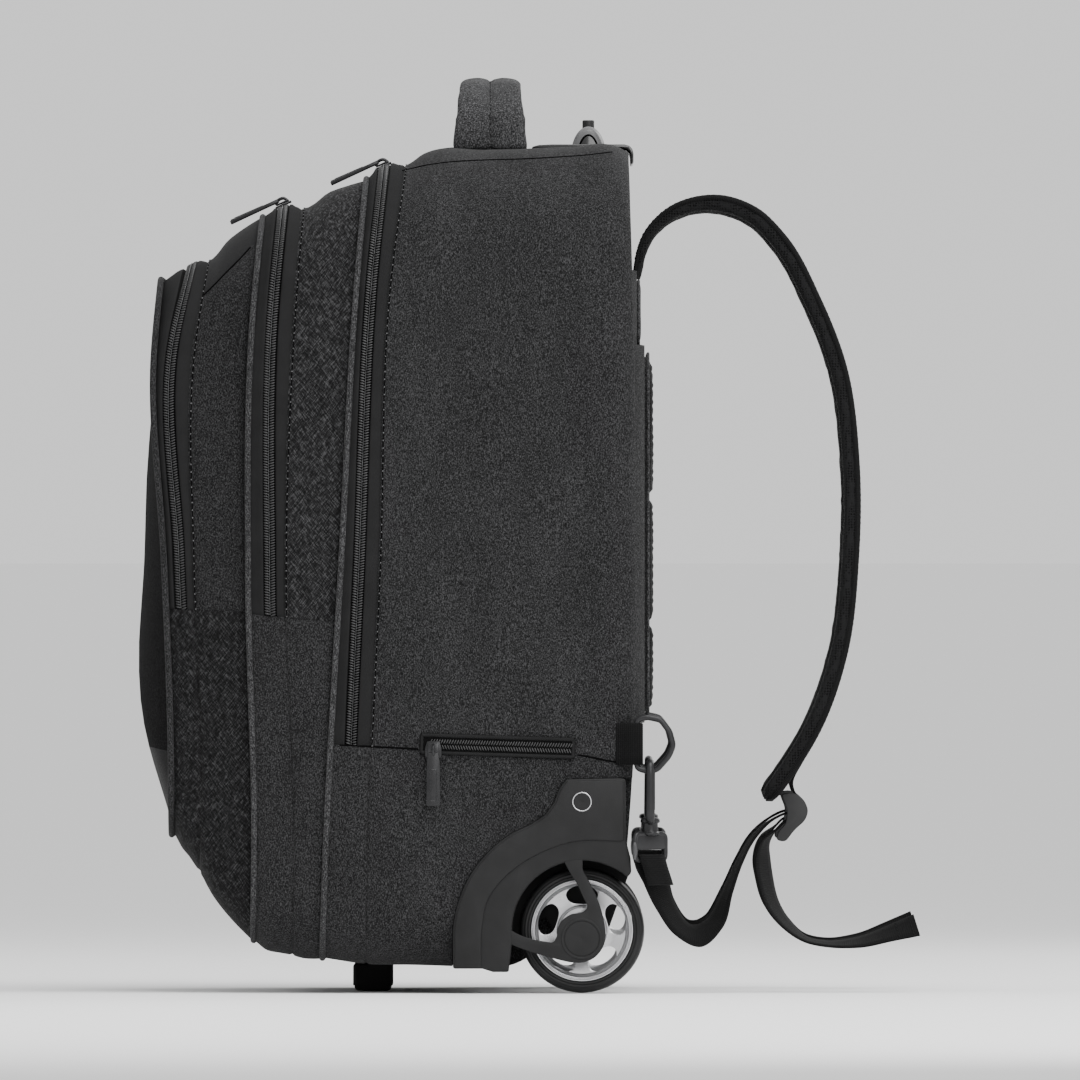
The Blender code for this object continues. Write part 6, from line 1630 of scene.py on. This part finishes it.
def buildTrolley():
    y = trolley["y"]
    plate = [(-0.0002, 0.5078), (0.0004, 0.5086), (0.0040, 0.5096), (0.0120, 0.5100), (0.0555, 0.5100),
             (0.0585, 0.5092), (0.0604, 0.5073), (0.0611, 0.5045), (0.0611, 0.4990), (0.0600, 0.4984),
             (0.0594, 0.4990), (0.0593, 0.5036), (0.0586, 0.5058), (0.0570, 0.5072), (0.0540, 0.5077)]
    bezel = plateMesh("bezel", plate, -trolley["halfLength"], trolley["halfLength"])
    wide, near, far = trolley["wellHalf"], y - trolley["wellY"], y + trolley["wellY"]
    opening = roundProfile([(-wide, near), (wide, near), (wide, far), (-wide, far)], 0.006, 6)
    work = bmesh.new()
    face = work.faces.new([work.verts.new((x, depth, 0.500)) for x, depth in opening])
    grown = bmesh.ops.extrude_face_region(work, geom=[face])
    moved = [item for item in grown["geom"] if isinstance(item, bmesh.types.BMVert)]
    bmesh.ops.translate(work, verts=moved, vec=(0, 0, 0.02))
    bmesh.ops.recalc_face_normals(work, faces=work.faces)
    well = bpy.data.meshes.new("well")
    work.to_mesh(well)
    work.free()
    bezel = rounded(carved(bezel, well), 0.0007, 3, 30)
    addPiece("bezel_plate", bezel, finishes["gloss"], stands=("handle_bezel",), sharp=40)
    outer = boxMesh("cup", (-0.0860, 0.0179, trolley["floor"]), (0.0860, 0.0501, 0.5078))
    inner = boxMesh("room", (-0.0842, 0.0196, trolley["floor"] + 0.0018), (0.0842, 0.0484, 0.52))
    cup = carved(outer, inner)
    for way in (-1, 1):
        bore = turnedMesh("bore", [(0, 0.0001), (0, 0.0083), (0.01, 0.0083), (0.01, 0.0001)],
                          (way * trolley["x"], y, trolley["floor"] - 0.004), "Z", 40)
        cup = carved(cup, bore)
    addPiece("handle_well", rounded(cup, 0.0004, 2, 30), finishes["innerPlastic"], sharp=40)
    for side, way in sides:
        x = way * trolley["x"]
        addPiece("outer_sleeve_" + side, tubeSleeve(x, 0.072, 0.4842, 0.0095, 0.0012), finishes["tube"],
                 stands=("outer_tube_" + side,))
        mid = joined("mid", [tubeSleeve(x, 0.082, 0.4890, 0.0079, 0.0012),
                             tubeSleeve(x, 0.4872, 0.4892, 0.0080, 0.0014)])
        addPiece("mid_sleeve_" + side, mid, finishes["tube"], "handle_stage", ("mid_tube_" + side,))
        addPiece("inner_sleeve_" + side, tubeSleeve(x, 0.092, 0.4908, 0.0063, 0.0012), finishes["tube"],
                 "handle_top", ("inner_tube_" + side,))
    buildGrip(y)


def buildGrip(y):
    ends = [(-1.0, 0.66), (-0.992, 0.78), (-0.975, 0.87), (-0.94, 0.95), (-0.90, 1.0)]
    stations = ends + [(place, 1.0) for place in np.linspace(-0.8, 0.8, 17)]
    stations += [(-place, scale) for place, scale in reversed(ends)]
    low, high, half = grip["low"], grip["high"], grip["half"]
    coreRows, skinRows = [], []
    for place, scale in stations:
        x = place * grip["reach"]
        fullness = 0.55 + 0.45 * scale
        dome = []
        for angle in np.linspace(0, 180, 25):
            turn = math.radians(angle)
            dome.append((y + half * scale * math.cos(turn) * 0.97,
                         low + 0.0100 + (high - low - 0.0118) * fullness * abs(math.sin(turn)) ** 0.92))
        foot = [(y - half * scale * 0.90, low + 0.0015), (y - half * scale * 0.70, low),
                (y + half * scale * 0.70, low), (y + half * scale * 0.90, low + 0.0015)]
        finger = 0.0006 * math.cos(place * math.pi * 4.0)  # low waves for the fingers
        coreRows.append([(x, a, b + (finger if b < low + 0.001 else 0)) for a, b in dome + foot])
        outerArc, innerArc = [], []
        for angle in np.linspace(8, 172, 25):
            turn = math.radians(angle)
            thick = 0.0026 * math.sin(turn) ** 0.8 + 0.0002
            reach = half * scale
            z = low + 0.0098 + (high - low - 0.0096) * fullness * abs(math.sin(turn)) ** 0.92
            outerArc.append((x, y + reach * math.cos(turn), z))
            innerArc.append((x, y + (reach - thick * 0.6) * math.cos(turn) * 0.98, z - thick))
        skinRows.append(outerArc + innerArc[::-1])
    addPiece("grip_core", loftMesh("core", coreRows, maps=False), finishes["gloss"], "handle_top",
             ("handle_grip",), 45)
    addPiece("grip_skin", loftMesh("skin", skinRows, maps=False), finishes["gripSkin"], "handle_top", (),
             50)
    knob = turnedMesh("knob", roundProfile([(0, 0.0001), (0, 0.0036), (0.0072, 0.0036), (0.0076, 0.0030),
                                            (0.0076, 0.0001)], 0.0005), (0, y, 0.5180), "Z", 48)
    addPiece("button_knob", knob, finishes["buckle"], "grip_button", ("release_button",), 50)


# pulls, side pocket zip, creases, foot
def pullMesh(start, end, width, thick, lift):
    # a slider's body and its long slim tab, lying from start to end, lifted off the cloth
    start, end, lift = np.array(start, float), np.array(end, float), unit(np.array(lift, float))
    along = unit(end - start)
    lift = unit(lift - along * np.dot(lift, along))
    across = np.cross(along, lift)
    length = np.linalg.norm(end - start)

    def solid(outline, low, high):
        rows = [[start + along * u + across * v + lift * h for u, v in outline] for h in (low, high)]
        return rounded(loftMesh("tab", rows, maps=False), min(0.0004, (high - low) * 0.3), 2, 30)
    half = width / 2
    slider = solid(roundProfile([(-0.001, -half * 0.75), (0.003, -half), (0.008, -half),
                                 (0.0095, -half * 0.6), (0.0095, half * 0.6), (0.008, half), (0.003, half),
                                 (-0.001, half * 0.75)], 0.0008, 3), 0.0, 0.0012)
    upper = solid(roundProfile([(0.0, -half * 0.7), (0.0085, -half * 0.7), (0.0085, half * 0.7),
                                (0.0, half * 0.7)], 0.0012, 3), 0.0015, 0.0025)
    bridge = np.array([start + along * u + lift * h for u, h in (
        (0.001, 0.0022), (0.0022, 0.0040), (0.0050, 0.0046), (0.0072, 0.0038), (0.0080, 0.0022))])
    arch = tubeMesh("arch", smoothPath(bridge, 0.0007), 0.0009, 8, guide=tuple(across))
    base, top = 0.0029, 0.0029 + thick
    blade = solid(roundProfile([(0.0058, -half * 0.62), (0.012, -half * 0.80), (length, -half * 0.86),
                                (length, half * 0.86), (0.012, half * 0.80), (0.0058, half * 0.62)],
                               0.0010, 4), base, top)
    rim = roundProfile([(0.016, -half * 0.40), (length - 0.003, -half * 0.40),
                        (length - 0.003, half * 0.40), (0.016, half * 0.40)], 0.0008, 3)
    edge = evenPath([start + along * u + across * v + lift * top for u, v in rim], 0.0008, closed=True)
    bead = tubeMesh("bead", edge, 0.0003, 6, True)
    return joined("pull", [slider, upper, arch, blade, bead])


pulls = {"slope": math.radians(25), "x": 0.013, "width": 0.0066, "thick": 0.0024, "sink": 0.0006,
         "middle": ((-0.1462, 0.4762), (-0.1804, 0.4602)), "main": ((-0.0858, 0.4996), (-0.1198, 0.4838)),
         "side": ((0.1680, -0.0592, 0.1500), (0.1680, -0.0592, 0.1122), 0.0100, 0.0014, (1, 0, 0))}


def buildPulls():
    lifted = (0, -math.sin(pulls["slope"]), math.cos(pulls["slope"]))
    for label in ("middle", "main"):
        back, front = pulls[label]
        for side, way in sides:
            start = (way * pulls["x"], back[0], back[1] - pulls["sink"])
            end = (way * pulls["x"], front[0], front[1] - pulls["sink"] + (0.0010 if way < 0 else 0.0))
            data = pullMesh(start, end, pulls["width"], pulls["thick"], lifted)
            addPiece(f"{label}_puller_{side}", data, finishes["gunmetal"], stands=(f"{label}_pull_{side}",),
                     sharp=40)
    addPiece("side_puller", pullMesh(*pulls["side"]), finishes["gunmetal"], stands=("side_zip_pull",),
             sharp=40)


sidePocket = {"start": -0.0673, "stop": 0.0259, "z": 0.1482, "tilt": math.radians(1.8), "height": 0.0128}


def buildSidePocket():
    size = sidePocket
    middleY = (size["start"] + size["stop"]) / 2
    half = (size["stop"] - size["start"]) / 2

    def at(x, run, rise):
        turn = -size["tilt"]
        return (x, middleY + run * math.cos(turn) - rise * math.sin(turn),
                size["z"] + run * math.sin(turn) + rise * math.cos(turn))
    edge = size["height"] / 2
    outline = roundProfile([(-half, -edge), (half, -edge), (half, edge), (-half, edge)], 0.0012, 3)
    rows = [[at(x, run, rise) for run, rise in outline] for x in (0.1646, 0.1672)]
    tape = rounded(loftMesh("tape", rows, maps=False), 0.0003, 2)
    welts = []
    for rise in (edge - 0.0012, -edge + 0.0012):
        route = np.array([at(0.1673, run, rise) for run in np.linspace(-half + 0.001, half - 0.001, 60)])
        welts.append(tubeMesh("welt", route, 0.0011, 10))
    for run in (-half + 0.0012, half - 0.0012):
        route = np.array([at(0.1672, run, rise) for rise in np.linspace(-edge + 0.001, edge - 0.001, 16)])
        welts.append(tubeMesh("stop", route, 0.0010, 8))
    addPiece("side_zip_tape", tape, finishes["tape"], stands=("side_pocket_zip",))
    addPiece("side_zip_welts", joined("welts", welts), finishes["band"], sharp=70)
    line = np.array([at(0.1675, run, 0.0) for run in np.linspace(-half + 0.006, half - 0.003, 120)])
    spots, outward, along = sweepRow(line, np.tile((1.0, 0, 0), (len(line), 1)), 0.0016)
    across = unit(np.cross(outward, along))
    teeth = np.vstack([spots - across * 0.0017, spots + across * 0.0017 + along * 0.0008])
    repeatRow("side_zip_coil", teeth, np.vstack([outward, outward]),
              np.vstack([along + across * 0.5, along - across * 0.5]), finishes["coil"],
              0.0037, 0.0011, 0.0014)


seamRoutes = {  # the shell, the line in the photograph's pixels and the radius of the dark tube painted as the seam's shade
    "front_crease": ("front", [(203, 295), (215, 283.5), (227, 271), (239, 259), (250, 247)], 0.0006),
    "main_seam": ("main", [(340, 745), (370, 746.5), (399, 748), (418, 749)], 0.0006),
    "main_top_seam": ("main", [(402, 170), (425, 165), (450, 161.5), (480, 159.8), (528, 158.3),
                               (560, 156.5), (592, 154), (612, 151.5)], 0.0005),
    "main_seam_back": ("main", [(578, 755), (590, 757), (604, 760), (616, 762)], 0.0006),
}


def buildSeams():
    # sewn lines across the panels and the front's crease: a dark tube where two panels meet, painted shade of
    # the sunk seam and of the crease
    for name, (label, spots, radius) in seamRoutes.items():
        tree = surfaceOf(bpy.data.objects["cloth_" + label].data)
        for side, way in sides:
            if way < 0 and name == "main_seam_back":
                continue
            line = []
            for px, py, _ in smoothPath([(px, py, 0) for px, py in spots], 2.0):
                hit = tree.ray_cast(Vector((way * 0.3, photoY(px), photoZ(py))), Vector((-way, 0, 0)))
                if hit[0] is not None:
                    line.append(np.array(hit[0]))
            if len(line) > 3:
                addPiece(f"{name}_{side}", tubeMesh("thread", np.array(line), radius, 6), finishes["seam"])


foot = {"half": 0.0440, "y": -0.096, "halfDepth": 0.0110, "high": 0.0165, "ribStep": 0.0075,
        "ribHalf": 0.0011}


def buildFoot():
    block = boxMesh("foot", (-foot["half"], foot["y"] - foot["halfDepth"], 0.0),
                    (foot["half"], foot["y"] + foot["halfDepth"], foot["high"]))
    for vertex in block.vertices:
        if vertex.co.z > 0.01:  # the top is a little larger than the sole
            vertex.co.x *= 1.022
            vertex.co.y = foot["y"] + (vertex.co.y - foot["y"]) * 1.07
    parts = [rounded(block, 0.0022, 4)]
    for step in range(-5, 6):
        x = step * foot["ribStep"]
        rib = boxMesh("rib", (x - foot["ribHalf"], -0.1080, 0.0030), (x + foot["ribHalf"], -0.0840, 0.0150))
        parts.append(rounded(rib, 0.0004, 2))
    addPiece("foot_block", joined("foot", parts), finishes["rubber"], stands=("front_foot",),
             sharp=40)


buildStage()
buildBag()
buildSidePocket()
buildPulls()
buildSeams()
print("pocket zips, pulls and seams made")
buildCarryHandle()
for name, size in backPads.items():
    buildBackPad(name, size)
strapMiddle = buildStrap()
print("padded pieces made")
buildRings()
buildHooks()
buildLocks()
buildWebbing(strapMiddle)
print("straps' hardware made")
buildHousings()
buildWheels()
buildTrolley()
buildFoot()
print("wheels, housings and pull handle made")
